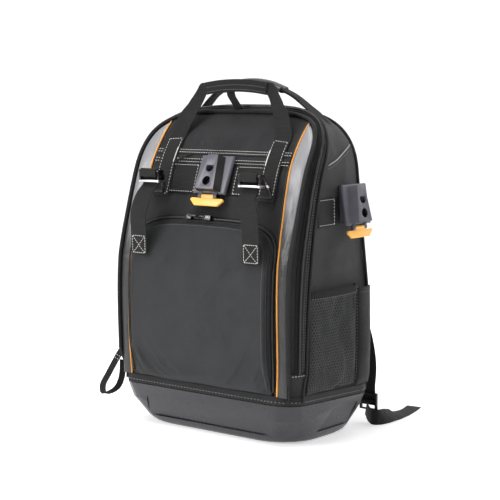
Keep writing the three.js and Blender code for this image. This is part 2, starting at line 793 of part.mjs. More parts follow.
function hubForm(seat) {
  const half = HUB_WIDTH / 2;
  const high = HUB_HEIGHT / 2;
  const chamfer = 2;
  const rect = (w, z0, z1, y) => [V(-w, y, z0), V(w, y, z0), V(w, y, z1), V(-w, y, z1)];
  const plate = loftSolid([
    rect(half - chamfer, -high + chamfer, high - chamfer, 0),
    rect(half, -high, high, chamfer),
    rect(half, -high, high, HUB_PLATE),
    rect(half - 6, -high + 6, high, HUB_PLATE + 0.01),
    rect(half - 6, -high + 6, high, HUB_PLATE + seat),
  ]);
  const trapeze = (grow, y) => {
    const [top, low] = [HUB_WEDGE_TOP / 2 + grow, HUB_WEDGE_BOTTOM / 2 + grow];
    return [V(-low, y, -high + 3), V(low, y, -high + 3), V(top, y, high - 3), V(-top, y, high - 3)];
  };
  const wedge = loftSolid([
    trapeze(-3, -HUB_WEDGE),
    trapeze(-1.6, -HUB_WEDGE + 2),
    trapeze(3, 0),
    trapeze(3, 1),
  ]);
  const hole = (z, flat) => {
    const bore = solid(placed(
      new THREE.CylinderGeometry(HUB_HOLE_RADIUS, HUB_HOLE_RADIUS, HUB_HOLE_DEPTH * 2, 16),
      [0, -HUB_WEDGE, z],
    ));
    if (!flat) return bore;
    const cut = boxSolid([40, 60, 10], [0, -HUB_WEDGE, z + HUB_HOLE_RADIUS * 0.5 + 5]);
    return bore.subtract(cut);
  };
  let hub = plate.add(wedge).subtract(hole(HUB_HOLE_HIGH, true)).subtract(hole(HUB_HOLE_LOW, false));
  for (const side of [1, -1]) {
    const width = TAB_LUG_OUT - TAB_LUG_IN;
    const x = side * (TAB_LUG_IN + width / 2);
    const eye = solid(placed(
      new THREE.CylinderGeometry(TAB_LUG_RADIUS, TAB_LUG_RADIUS, width, 12),
      [x, HUB_PIN_Y, HUB_PIN_Z],
      [0, 0, Math.PI / 2],
    ));
    const size = [width, TAB_LUG_RADIUS * 1.6, TAB_LUG_RADIUS + 3];
    const neck = boxSolid(size, [x, HUB_PIN_Y, HUB_PIN_Z + TAB_LUG_RADIUS]);
    hub = hub.add(eye).add(neck);
  }
  return hub;
}

function tabForm() {
  const length = (TAB_LUG_IN - TAB_CLEARANCE) * 2;
  const barrel = solid(placed(
    new THREE.CylinderGeometry(TAB_PIN_RADIUS, TAB_PIN_RADIUS, length, 12),
    [0, HUB_PIN_Y, HUB_PIN_Z],
    [0, 0, Math.PI / 2],
  ));
  const top = HUB_PIN_Z - TAB_LUG_RADIUS - TAB_CLEARANCE;
  const size = [length, TAB_THICKNESS, TAB_LUG_RADIUS + 2];
  const neck = boxSolid(size, [0, HUB_PIN_Y, top + TAB_LUG_RADIUS / 2]);
  const y0 = HUB_PIN_Y - TAB_THICKNESS / 2;
  const outline = [
    [-TAB_HALF, top - 3],
    [-TAB_HALF + 10, top - TAB_HEIGHT],
    [TAB_HALF - 10, top - TAB_HEIGHT],
    [TAB_HALF, top - 3],
    [TAB_HALF - 2, top],
    [-TAB_HALF + 2, top],
  ];
  const plate = prismY(outline, y0, y0 + TAB_THICKNESS);
  return barrel.add(neck).add(plate);
}

// Where the hubs stand. A hub's own -y becomes the way it faces.
const FRONT_HUB = {
  at: [0, frontPoint(0, FRONT_HUB_Z, HUB_PLATE + 5).y, FRONT_HUB_Z],
  turn: [-THREE.MathUtils.degToRad(FRONT_HUB_LEAN), 0, 0],
};
const SIDE_HUB = {
  at: [SIDE_HUB_OUT, SIDE_HUB_Y, SIDE_HUB_Z],
  turn: [-THREE.MathUtils.degToRad(SIDE_HUB_LEAN), 0, Math.PI / 2],
};

function hubPlaced(form, spot) {
  const matrix = new THREE.Matrix4().compose(
    V(...spot.at),
    new THREE.Quaternion().setFromEuler(new THREE.Euler(...spot.turn, 'ZYX')),
    V(1, 1, 1),
  );
  return form.transform(matrix.toArray());
}

// Side pieces
function sideForm(y0, y1, depths, inset, topOpen, side = 1) {
  const loops = depths.map(({ z, depth }) => {
    const points = [];
    for (const t of [0, 0.12, 0.3, 0.5, 0.7, 0.88, 1]) {
      const y = mix(y0 + inset, y1 - inset, t);
      const bow = Math.sin(Math.PI * Math.min(Math.max(t, 0.0), 1)) ** 0.45;
      points.push(V(side * (BAG_HALF_WIDTH - 1 + Math.max(depth * bow, 0) - inset), y, z));
    }
    points.push(V(side * (BAG_HALF_WIDTH - 40), y1 - inset, z));
    points.push(V(side * (BAG_HALF_WIDTH - 40), y0 + inset, z));
    return points;
  });
  if (topOpen) loops.push(loops.at(-1).map((p) => V(p.x, p.y, p.z + 40)));
  return loftSolid(loops);
}

const bandTop = (y) => rimZ(y) + BAND_HEIGHT + GAP;

function makeSidePocket(y0, y1, top, depth, side) {
  const low = bandTop(y0) + GAP;
  const rows = [
    { z: low, depth: 1.5 },
    { z: low + 12, depth: depth * 0.7 },
    { z: mix(low, top, 0.45), depth },
    { z: mix(low, top, 0.8), depth: depth * 0.85 },
    { z: top, depth: depth * 0.75 },
  ];
  const inner = rows.map((row, i) => ({ z: i === 0 ? row.z + SIDE_WALL : row.z, depth: row.depth }));
  return sideForm(y0, y1, rows, 0, false, side)
    .subtract(sideForm(y0, y1, inner, SIDE_WALL, true, side))
    .subtract(FORM_CLEAR);
}

function makeHem(y0, y1, top, depth, side) {
  const rows = [{ z: top - HEM_HEIGHT, depth: depth * 0.78 }, { z: top, depth: depth * 0.75 }];
  const cut = [{ z: top - HEM_HEIGHT - 1, depth: depth * 0.78 }, { z: top + 1, depth: depth * 0.75 }];
  return sideForm(y0, y1, rows, -TAPE - GAP, false, side)
    .subtract(sideForm(y0, y1, cut, -GAP, false, side))
    .subtract(FORM_CLEAR);
}

// Handles
const SIDES = [['left', -1], ['right', 1]];
const LEG_STAND = 2 * GAP + TAPE + WEB_THICKNESS / 2;

// A front handle leg: sewn flat up the panel, then free up to the grip's end.
function makeLeg(side) {
  const rows = [];
  const sewn = [LEG_LOOP_Z, ...FRONT_PROFILE.map((row) => row.height * BAG_TOP), LEG_SEWN_TOP]
    .filter((z) => z >= LEG_LOOP_Z && z <= LEG_SEWN_TOP)
    .sort((a, b) => a - b);
  for (const z of sewn) rows.push({ at: frontPoint(side * LEG_X, z, LEG_STAND), across: V(1, 0, 0) });
  const free = [
    { x: 0.92, rise: 0.33, y: 0.45, lean: 0.35, wide: 1 },
    { x: 0.80, rise: 0.62, y: 0.8, lean: 0.5, wide: 1 },
    { x: 0.70, rise: 0.86, y: 1, lean: 0.9, wide: 0.85 },
    { x: 0.65, rise: 0.98, y: 1, lean: 2, wide: 0.68 },
  ];
  const foot = frontPoint(side * LEG_X, LEG_SEWN_TOP, LEG_STAND);
  for (const row of free) {
    rows.push({
      at: V(side * LEG_X * row.x, mix(foot.y, GRIP_Y, row.y), mix(LEG_SEWN_TOP, GRIP_Z, row.rise)),
      across: V(1, 0, side * row.lean),
      wide: WEB_WIDTH * row.wide,
    });
  }
  for (const off of [4.5, 2.2]) {
    rows.push({ at: V(side * (GRIP_HALF + off), GRIP_Y, GRIP_Z), across: V(0, 0, side), wide: GRIP_HEIGHT });
  }
  return solid(ribbon(rows, WEB_WIDTH, WEB_THICKNESS)).subtract(GRIP_CLEAR);
}

// A band that bows up in the middle between two ends at x = -half and half.
function bowedBand(half, y, z, rise, width, thickness, across) {
  const rows = [-1, -0.6, -0.2, 0.2, 0.6, 1].map((t) => ({
    at: V(t * half, y, z + rise * (1 - t * t)),
    across,
  }));
  return padBand(rows, width, thickness);
}

const makeGrip = (grow) => bowedBand(
  GRIP_HALF + grow,
  GRIP_Y,
  GRIP_Z,
  GRIP_RISE,
  GRIP_HEIGHT + 2 * grow,
  GRIP_THICKNESS + 2 * grow,
  V(0, 0, 1),
);
const GRIP_CLEAR = solid(makeGrip(GAP));

function makeKeeper() {
  const back = GRIP_Y + (GRIP_THICKNESS + WEB_THICKNESS) / 2 + GAP;
  const rows = [
    { at: V(KEEPER_X, back, GRIP_Z + GRIP_HEIGHT * 0.6), across: V(1, 0, 0) },
    { at: V(KEEPER_X, back, GRIP_Z - GRIP_HEIGHT * 0.4), across: V(1, 0, 0) },
    { at: V(KEEPER_X, back + 9, GRIP_Z - GRIP_HEIGHT), across: V(1, 0, 0) },
    { at: V(KEEPER_X, back + 24, BAG_TOP * SEAM.top - 6), across: V(1, 0, 0) },
  ];
  return solid(ribbon(rows, KEEPER_WIDTH, WEB_THICKNESS)).subtract(FORM_CLEAR);
}

const makeSleeve = (grow) => bowedBand(
  SLEEVE_HALF + grow,
  SLEEVE_Y,
  SLEEVE_Z - SLEEVE_RISE,
  SLEEVE_RISE,
  SLEEVE_WIDTH + 2 * grow,
  SLEEVE_THICKNESS + 2 * grow,
  V(0, 1, 0),
);
const SLEEVE_CLEAR = solid(makeSleeve(GAP));

function makeRearWeb(side) {
  const low = SLEEVE_Z - SLEEVE_RISE;
  const shares = [
    { x: 0, y: 0, drop: 0, wide: 0.75 },
    { x: 0.26, y: 0.2, drop: 0.16, wide: 0.95 },
    { x: 0.54, y: 0.45, drop: 0.42, wide: 1 },
    { x: 0.78, y: 0.7, drop: 0.68, wide: 1 },
    { x: 1, y: 1, drop: 1, wide: 1 },
  ];
  const foot = { x: REAR_FOOT_X, y: REAR_FOOT_Y, z: REAR_FOOT_Z };
  const rows = shares.map((row) => ({
    at: V(
      side * mix(SLEEVE_HALF + GAP, foot.x, row.x),
      mix(SLEEVE_Y, foot.y, row.y),
      mix(low, foot.z, row.drop),
    ),
    across: V(0, 1, 0),
    wide: WEB_WIDTH * row.wide,
  }));
  return solid(ribbon(rows, WEB_WIDTH, WEB_THICKNESS)).subtract(PIPED_CLEAR).subtract(SLEEVE_CLEAR);
}

// Compression straps and their hooks
const BAR_HIGH = BUCKLE_Z + BUCKLE_HEIGHT / 2 - BUCKLE_BAR;
const BAR_LOW = BUCKLE_Z - BUCKLE_HEIGHT / 2 + BUCKLE_BAR;

// How far the pocket's face stands where the inner edge of the strap lies on it.
function pocketFaceY(z) {
  const inset = POCKET_HALF - XBOX_X + WEB_WIDTH / 2;
  const [near, far] = POCKET_RINGS.slice(-2);
  const stand = mix(near.stand, far.stand, (inset - near.inset) / (far.inset - near.inset));
  return frontY(z) - pocketStand(z) * stand;
}

function makeStrap(side) {
  const turn = BUCKLE_BAR + GAP + WEB_THICKNESS / 2 + GAP;
  const face = (z) => pocketFaceY(z) - WEB_THICKNESS / 2 - GAP;
  const across = V(1, 0, 0);
  const rows = [
    { at: V(side * XBOX_X, face(XBOX_LOW), XBOX_LOW), across },
    { at: V(side * XBOX_X, Math.min(face(XBOX_HIGH), face(XBOX_LOW)) - 1, XBOX_HIGH), across },
    { at: V(side * (XBOX_X - 1), BUCKLE_Y - 14, mix(XBOX_HIGH, BAR_LOW, 0.4)), across },
    { at: V(side * (BUCKLE_X + 2), BUCKLE_Y - 9, mix(XBOX_HIGH, BAR_LOW, 0.76)), across },
    { at: V(side * BUCKLE_X, BUCKLE_Y + turn, BAR_LOW - 5), across },
    { at: V(side * BUCKLE_X, BUCKLE_Y + turn, BAR_LOW), across },
  ];
  for (const degrees of [0, 45, 90, 135, 180]) {
    const a = THREE.MathUtils.degToRad(degrees);
    rows.push({
      at: V(side * BUCKLE_X, BUCKLE_Y + turn * Math.cos(a), BAR_HIGH + turn * Math.sin(a)),
      across,
    });
  }
  rows.push({ at: V(side * BUCKLE_X, BUCKLE_Y - turn, BUCKLE_Z - 1), across });
  return ribbon(rows, WEB_WIDTH, WEB_THICKNESS);
}

function makeHook(side) {
  const bar = (z) => solid(placed(
    new THREE.CylinderGeometry(BUCKLE_BAR, BUCKLE_BAR, BUCKLE_WIDTH, 8),
    [side * BUCKLE_X, BUCKLE_Y, z],
    [0, 0, Math.PI / 2],
  ));
  let made = bar(BAR_HIGH).add(bar(BAR_LOW));
  const tips = [];
  for (const end of [-1, 1]) {
    const x = side * BUCKLE_X + end * (BUCKLE_WIDTH - BUCKLE_BAR) / 2;
    const size = [BUCKLE_BAR, HOOK_REACH + BUCKLE_BAR, BUCKLE_HEIGHT];
    made = made.add(boxSolid(size, [x, BUCKLE_Y + HOOK_REACH / 2, BUCKLE_Z]));
    const tip = frontPoint(
      side * HOOK_TIP_X + end * HOOK_TIP_HALF,
      LEG_LOOP_Z + HOOK_TIP_RISE,
      HOOK_TIP_STAND,
    );
    const start = V(x, BUCKLE_Y + HOOK_REACH, BUCKLE_Z + BUCKLE_HEIGHT / 4);
    const bend = start.clone().lerp(tip, 0.55).add(V(0, 0, 3));
    made = made.add(solid(rod([start, bend, tip], HOOK_RADIUS, 6, V(1, 0, 0))));
    tips.push(tip);
  }
  return made.add(solid(rod(tips, HOOK_RADIUS, 6)));
}

// The zip slider at the foot of the left gusset, its ring and its webbing pull
function gussetPoint(v, z, out) {
  let i = 1;
  while (i < SIDE_ROWS.length - 1 && bagPoint(v, i).z < z) i += 1;
  const [a, b] = [bagPoint(v, i - 1, out), bagPoint(v, i, out)];
  const at = a.clone().lerp(b, (z - a.z) / (b.z - a.z));
  return V(-at.x, at.y, at.z);
}

function makeMainSlider() {
  const size = [MAIN_SLIDER_THICKNESS, MAIN_SLIDER_WIDTH, MAIN_SLIDER_HEIGHT];
  const at = gussetPoint(0.5, MAIN_SLIDER_Z, MAIN_SLIDER_OUT);
  const clear = loftSolid(bagForm(ZIP_THICKNESS + 2 * GAP));
  return boxSolid(size, at.toArray(), [0, 0, GUSSET_TURN]).subtract(clear);
}

const RING_DROP = MAIN_SLIDER_HEIGHT / 2 + LOOP_RING + PULL_WIRE + GAP;
const ringCentre = () => gussetPoint(0.5, MAIN_SLIDER_Z, MAIN_SLIDER_OUT).add(V(0, -2, -RING_DROP));

function makePullLoop() {
  const top = ringCentre().add(V(0, 0, -LOOP_RING - PULL_WIRE - GAP - WEB_THICKNESS / 2));
  const path = [
    [0, 0, 0], [-4, -8, -14], [-8, -22, -36], [-10, -34, -54], [-8, -32, -68],
    [-1, -12, -62], [2, -2, -44], [2, 1, -16],
  ];
  const rows = path.map(([x, y, z]) => ({ at: top.clone().add(V(x, y, z)), across: V(1, 0.3, 0) }));
  return ribbon(rows, LOOP_WIDTH, WEB_THICKNESS);
}

// Back
function makeBackPad(grow) {
  const round = (inset, y) => {
    const points = [];
    const radius = PAD_CORNER - inset / 2;
    for (const [sx, sz, from] of [[1, 1, 0], [-1, 1, 90], [-1, -1, 180], [1, -1, 270]]) {
      const cx = PAD_HALF + grow - inset - radius;
      const cz = sz > 0 ? PAD_HIGH + grow - inset - radius : PAD_LOW - grow + inset + radius;
      for (let i = 0; i <= 3; i += 1) {
        const a = THREE.MathUtils.degToRad(from + 30 * i);
        points.push(V(sx * cx + radius * Math.cos(a), y, cz + radius * Math.sin(a)));
      }
    }
    return points;
  };
  const low = BACK_Y + GAP;
  return loftSolid([
    round(0, low),
    round(0, low + PAD_THICKNESS * 0.55 + grow),
    round(PAD_THICKNESS * 0.7, low + PAD_THICKNESS + grow),
  ]);
}
const PAD_CLEAR = makeBackPad(GAP);

const STRAP_LIE = BACK_Y + 2 * GAP + PAD_THICKNESS + STRAP_PAD / 2 + GAP;

// A padded shoulder strap, sewn below the top of the back and lying down over the pad.
const STRAP_TOP = BAG_TOP * BACK.top;
const STRAP_ROWS = [
  { x: 0.90, lie: 0.10, drop: 14, wide: 0.80, thick: 0.30 },
  { x: 0.90, lie: 0.32, drop: 24, wide: 0.92, thick: 0.70 },
  { x: 0.93, lie: 0.90, drop: 37, wide: 1.00, thick: 1.00 },
  { x: 0.97, lie: 1.00, drop: 52, wide: 1.00, thick: 1.00 },
  { x: 1.08, lie: 1.00, drop: 95, wide: 1.00, thick: 1.00 },
  { x: 1.25, lie: 1.00, drop: 150, wide: 1.00, thick: 1.00 },
  { x: 1.48, lie: 1.00, drop: 205, wide: 0.96, thick: 1.00 },
  { x: 1.74, lie: 1.00, drop: 257, wide: 0.86, thick: 1.00 },
  { x: 1.98, lie: 1.00, drop: 300, wide: 0.72, thick: 0.80 },
  { x: 2.14, lie: 1.00, drop: 330, wide: 0.60, thick: 0.40 },
];
const strapPoint = (row, side) => V(
  side * STRAP_X * row.x,
  mix(BACK_Y, STRAP_LIE, row.lie),
  STRAP_TOP - row.drop,
);

function makeShoulderStrap(side, grow = 0) {
  const rows = STRAP_ROWS.map((row) => ({
    at: strapPoint(row, side),
    across: V(1, 0, side * 0.3),
    wide: STRAP_WIDTH * row.wide + 2 * grow,
    thick: STRAP_PAD * row.thick + 2 * grow,
  }));
  return solid(padBand(rows, STRAP_WIDTH, STRAP_PAD)).subtract(FORM_CLEAR).subtract(PAD_CLEAR);
}

function makeLowerWeb(side) {
  const [above, end] = STRAP_ROWS.slice(-2).map((row) => strapPoint(row, side));
  const lock = V(side * LOCK_X, LOCK_Y, LOCK_Z + LOCK_HEIGHT / 2 + GAP);
  const from = end.clone().addScaledVector(end.clone().sub(above).normalize(), GAP);
  const between = (out, back, share) => V(side * (LOCK_X + out), LOCK_Y + back, mix(from.z, lock.z, share));
  const rows = [
    { at: from, across: V(1, 0, side * 0.3) },
    { at: between(-4, -4, 0.25), across: V(1, 0, side * 0.2) },
    { at: between(3, -2, 0.6), across: V(1, 0, 0) },
    { at: between(0, 0, 0.9), across: V(1, 0, 0) },
    { at: lock, across: V(1, 0, 0) },
  ];
  return solid(ribbon(rows, TAIL_WIDTH, WEB_THICKNESS)).subtract(makeShoulderStrap(side, GAP));
}

function makeLock(side) {
  const at = [side * LOCK_X, LOCK_Y, LOCK_Z];
  let made = boxSolid([LOCK_WIDTH, LOCK_THICKNESS, LOCK_HEIGHT], at);
  for (const rise of [-1, 1]) {
    const slot = [LOCK_WIDTH - 7, LOCK_THICKNESS * 3, LOCK_HEIGHT / 2 - 5];
    made = made.subtract(boxSolid(slot, [at[0], at[1], at[2] + rise * LOCK_HEIGHT / 4]));
  }
  return made;
}

// The free end of the strap webbing: it leaves the buckle on edge and lies back along the floor.
function makeTail(side) {
  const y0 = LOCK_Y - LOCK_THICKNESS / 2 - WEB_THICKNESS / 2 - GAP;
  const edge = TAIL_WIDTH / 2 + GAP;
  const table = [
    { x: 0, y: 0, z: edge + 6, up: 1, over: 0 },
    { x: 8, y: -8, z: edge + 3, up: 1, over: 0 },
    { x: 19, y: -13, z: edge, up: 1, over: 0 },
    { x: 28, y: -8, z: edge, up: 1, over: -0.1 },
    { x: 30, y: 8, z: edge * 0.94, up: 1, over: -0.5 },
    { x: 27, y: 32, z: edge * 0.75, up: 0.7, over: -0.8 },
    { x: 21, y: 66, z: edge * 0.3, up: 0.2, over: -1 },
    { x: 13, y: 104, z: WEB_THICKNESS, up: 0.03, over: -1 },
    { x: 4, y: TAIL_REACH, z: WEB_THICKNESS, up: 0.03, over: -1 },
  ];
  const rows = table.map((row) => ({
    at: V(side * (LOCK_X + row.x), y0 + row.y, row.z),
    across: V(side * row.over, 0, row.up),
  }));
  return ribbon(rows, TAIL_WIDTH, WEB_THICKNESS);
}

// Materials: colour, roughness and metalness as seen.
const finish = (color, roughness, metalness = 0) => ({ color, roughness, metalness });
const FABRIC = finish('#1b1c1f', 0.85);
const POCKET_FABRIC = finish('#26282b', 0.8);
const WEBBING = finish('#141416', 0.75);
const GREY = finish('#6d6e72', 0.45);
const ORANGE = finish('#f09a1e', 0.5);
const TRAY_PLASTIC = finish('#3b3a41', 0.45);
const HUB_PLASTIC = finish('#43434b', 0.5);
const TAB_PLASTIC = finish('#ffab2d', 0.45);
const METAL = finish('#3a3b3f', 0.3, 0.9);
const RUBBER = finish('#1d1d1f', 0.6);
const MESH_FABRIC = finish('#101012', 0.9);
const PAD_FABRIC = finish('#202124', 0.9);

const group = new THREE.Group();

function add(name, made, look) {
  const geometry = made.isBufferGeometry ? made : fromSolid(made);
  geometry.computeVertexNormals();
  const mesh = new THREE.Mesh(geometry, new THREE.MeshStandardMaterial(look));
  mesh.name = name;
  group.add(mesh);
}

add('base_tray', makeTray(), TRAY_PLASTIC);
add('base_band', makeBand(), WEBBING);
add('main_shell', makeShell(), FABRIC);

const panelCut = prismY(openingOutline(WALL + GAP), -BEHIND, BEHIND);
const panel = aboveRim(frontPlate(-WALL, 0).intersect(panelCut), GAP);
add('front_panel', panel.subtract(bandClear()), FABRIC);

// Trim that runs over the arch
const PATCH_ROW = SIDE_ROWS.indexOf(PATCH_TOP_SHARE);
const lastStation = STATIONS - 1;
const zipper = gussetStrip(
  [ZIP_FRONT, ZIP_BACK],
  PATCH_ROW,
  lastStation - PATCH_ROW,
  GAP,
  GAP + ZIP_THICKNESS,
);
add('main_zipper', zipper, WEBBING);
add('front_piping', seamPiping(0, RIM_PIPING_RADIUS, 1, 1), WEBBING);
add('side_piping', seamPiping(1, SEAM_PIPING_RADIUS, 1), WEBBING);
add('back_piping', seamPiping(1.93, SEAM_PIPING_RADIUS, 1), WEBBING);
for (const [name, side] of SIDES) {
  const first = side > 0 ? 1 : lastStation - PATCH_ROW;
  const patch = gussetStrip([0.08, ZIP_FRONT, ZIP_BACK, 0.88], first, first + PATCH_ROW - 1, GAP, GAP + TAPE);
  add(`corner_patch_${name}`, patch, FABRIC);
}

// Front trim
for (const [name, side] of SIDES) {
  add(`grey_strip_${name}`, makeStrip(side), GREY);
  add(`orange_piping_${name}`, makePiping(side), ORANGE);
}

// Front pocket
add('front_pocket', makePocket(), POCKET_FABRIC);
add('pocket_zipper', makePocketZip(), WEBBING);
for (const [name, x, reach] of [['left', -34, 11], ['right', 5, -11]]) {
  add(`pocket_slider_${name}`, makePocketSlider(x, reach), METAL);
}

// Zipped slot across the front, and the webbing that backs the hub
const bandHalf = PIPING_LINE.at(-1).x * BAG_HALF_WIDTH - PIPING_RADIUS - 2 * GAP;
const slotFrame = frameBox(-bandHalf, bandHalf, ZIP_BAND_LOW, ZIP_BAND_HIGH);
const patchFrame = frameBox(-HUB_PATCH_HALF, HUB_PATCH_HALF, HUB_PATCH_LOW, HUB_PATCH_HIGH);
add('upper_zipper', frontPiece(slotFrame, GAP, GAP + TAPE), FABRIC);
add('hub_patch', frontPiece(patchFrame, GAP, GAP + TAPE), WEBBING);

// Hubs
const hubClear = { front: behindFront(2 * GAP + TAPE), side: loftSolid(bagForm(2 * GAP + TAPE)) };
add('front_hub', hubPlaced(hubForm(20), FRONT_HUB).subtract(hubClear.front), HUB_PLASTIC);
add('front_release_tab', hubPlaced(tabForm(), FRONT_HUB), TAB_PLASTIC);
const sidePatchRows = [SIDE_PATCH_LOW, SIDE_PATCH_HIGH].map((z) => ({ z, depth: SIDE_PATCH_DEPTH }));
const sidePatch = sideForm(SIDE_PATCH_FRONT, SIDE_PATCH_BACK, sidePatchRows, 0, false)
  .intersect(loftSolid(bagForm(GAP + TAPE))).subtract(FORM_CLEAR);
add('side_patch', sidePatch, WEBBING);
add('side_hub', hubPlaced(hubForm(30), SIDE_HUB).subtract(hubClear.side), HUB_PLASTIC);
add('side_release_tab', hubPlaced(tabForm(), SIDE_HUB), TAB_PLASTIC);

// Side pockets
for (const [name, side] of SIDES) {
  add(`mesh_pocket_${name}`, makeSidePocket(MESH_FRONT, MESH_BACK, MESH_TOP, MESH_DEPTH, side), MESH_FABRIC);
  add(`mesh_hem_${name}`, makeHem(MESH_FRONT, MESH_BACK, MESH_TOP, MESH_DEPTH, side), WEBBING);
  add(`slot_pocket_${name}`, makeSidePocket(MESH_BACK + 3, SLOT_BACK, SLOT_TOP, SLOT_DEPTH, side), FABRIC);
}

// Handles
for (const [name, side] of SIDES) {
  add(`handle_leg_${name}`, makeLeg(side), WEBBING);
}
add('front_grip', makeGrip(0), WEBBING);
add('grip_keeper', makeKeeper(), WEBBING);
add('rear_sleeve', makeSleeve(0), RUBBER);
for (const [name, side] of SIDES) {
  add(`rear_web_${name}`, makeRearWeb(side), WEBBING);
}

// Compression straps
for (const [name, side] of SIDES) {
  add(`compression_strap_${name}`, makeStrap(side), WEBBING);
  add(`strap_hook_${name}`, makeHook(side), METAL);
}

// Zip pulls
const cordStand = 2 * GAP + TAPE + CORD_RADIUS;
const cord = [[-60, 438, 0], [-65, 436, 0], [-74, 432, 2], [-87, 425.5, 1]];
add('upper_pull', rod(cord.map(([x, z, lift]) => frontPoint(x, z, cordStand + lift)), CORD_RADIUS, 6), WEBBING);
add('main_slider', makeMainSlider(), METAL);
const ringTurn = [0, Math.PI / 2, GUSSET_TURN];
const ring = new THREE.TorusGeometry(LOOP_RING, PULL_WIRE, 6, 12);
add('pull_ring', placed(ring, ringCentre().toArray(), ringTurn), METAL);
add('pull_loop', makePullLoop(), WEBBING);

// Back and shoulder straps
add('back_pad', makeBackPad(0), PAD_FABRIC);
for (const [name, side] of SIDES) {
  add(`shoulder_strap_${name}`, makeShoulderStrap(side), PAD_FABRIC);
  add(`lower_web_${name}`, makeLowerWeb(side), WEBBING);
  add(`ladder_lock_${name}`, makeLock(side), RUBBER);
  add(`strap_tail_${name}`, makeTail(side), WEBBING);
}

export default group;
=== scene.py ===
"""Looks of a tool backpack: sewn fabric, webbing, moulded tray and hubs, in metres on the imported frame."""

import logging
import math
from collections.abc import Callable, Iterable, Sequence
from dataclasses import dataclass
from enum import Enum
from typing import Any

import bmesh
import bpy
from mathutils import Matrix, Vector, noise


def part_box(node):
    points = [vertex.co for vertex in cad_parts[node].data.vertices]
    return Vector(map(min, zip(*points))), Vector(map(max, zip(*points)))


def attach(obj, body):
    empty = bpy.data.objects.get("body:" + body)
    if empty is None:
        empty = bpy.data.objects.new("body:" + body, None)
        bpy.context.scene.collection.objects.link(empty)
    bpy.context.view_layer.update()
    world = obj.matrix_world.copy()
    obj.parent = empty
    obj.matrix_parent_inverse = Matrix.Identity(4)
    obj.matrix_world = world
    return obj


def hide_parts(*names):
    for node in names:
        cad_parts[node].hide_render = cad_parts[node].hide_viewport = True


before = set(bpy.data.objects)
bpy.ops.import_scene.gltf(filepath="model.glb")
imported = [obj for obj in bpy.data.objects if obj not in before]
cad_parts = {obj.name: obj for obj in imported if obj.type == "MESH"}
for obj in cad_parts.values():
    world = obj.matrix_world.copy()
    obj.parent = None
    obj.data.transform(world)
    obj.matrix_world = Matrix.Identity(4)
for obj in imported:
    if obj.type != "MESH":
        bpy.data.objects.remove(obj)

LOG = logging.getLogger("backpack")
MM = 0.001
SIDES = (("left", -1), ("right", 1))
FINE = (0.24 * MM, 2.2 * MM, 3.6 * MM)  # radius, length and pitch of the fine stitches
Place = Callable[[float, float], Vector]
Path = Callable[[float], Vector]


def mix(a: float, b: float, t: float) -> float:
    """Goes from a to b as t goes from 0 to 1."""
    return a + (b - a) * t


def smooth(low: float, high: float, value: float) -> float:
    """Rises softly from 0 at low to 1 at high."""
    t = min(max((value - low) / (high - low), 0.0), 1.0)
    return t * t * (3 - 2 * t)


def curve_at(rows: Sequence[tuple[float, float]], x: float) -> float:
    """Reads a smooth line through rows of (x, y).

    Args:
        rows: The points, in rising order of x.
        x: Where to read.

    Returns:
        The y of the line there.
    """
    i = 1
    while i < len(rows) - 1 and rows[i][0] < x:
        i += 1
    (x0, y0), (x1, y1) = rows[i - 1], rows[i]
    (xa, ya), (xb, yb) = rows[max(i - 2, 0)], rows[min(i + 1, len(rows) - 1)]
    span = x1 - x0
    t = (x - x0) / span
    if not 0 <= t <= 1:
        return y0 + (y1 - y0) * t
    rise0 = span * (y1 - ya) / (x1 - xa)
    rise1 = span * (yb - y0) / (xb - x0)
    return (
        (2 * t**3 - 3 * t**2 + 1) * y0 + (t**3 - 2 * t**2 + t) * rise0
        + (3 * t**2 - 2 * t**3) * y1 + (t**3 - t**2) * rise1
    )


def spline(points: Sequence[Vector], t: float) -> Vector:
    """Returns the point at share t of a smooth line through points."""
    at = min(max(t, 0.0), 1.0) * (len(points) - 1)
    i = min(int(at), len(points) - 2)
    f = at - i
    a, b, c, d = (points[min(max(k, 0), len(points) - 1)] for k in (i - 1, i, i + 1, i + 2))
    return 0.5 * (2 * b + (c - a) * f + (2 * a - 5 * b + 4 * c - d) * f**2 + (3 * b - 3 * c + d - a) * f**3)


class Value:
    """A socket's number, with Python's operators as Math nodes."""

    def __init__(self, tree: "Tree", socket: Any) -> None:
        """Wraps socket, an output of a node in tree."""
        self.tree, self.socket = tree, socket

    def math(self, operation: str, *values: Any) -> "Value":
        """Adds one Math node on the given values."""
        return self.tree.node("ShaderNodeMath", {"operation": operation}, dict(enumerate(values)))

    def __add__(self, other: Any) -> "Value":
        """Adds."""
        return self.math("ADD", self, other)

    __radd__ = __add__

    def __sub__(self, other: Any) -> "Value":
        """Subtracts."""
        return self.math("SUBTRACT", self, other)

    def __rsub__(self, other: Any) -> "Value":
        """Subtracts from a number."""
        return self.math("SUBTRACT", other, self)

    def __mul__(self, other: Any) -> "Value":
        """Multiplies."""
        return self.math("MULTIPLY", self, other)

    __rmul__ = __mul__

    def __pow__(self, other: Any) -> "Value":
        """Raises to a power."""
        return self.math("POWER", self, other)

    def sine(self) -> "Value":
        """Takes the sine."""
        return self.math("SINE", self)

    def size(self) -> "Value":
        """Takes the absolute value."""
        return self.math("ABSOLUTE", self)


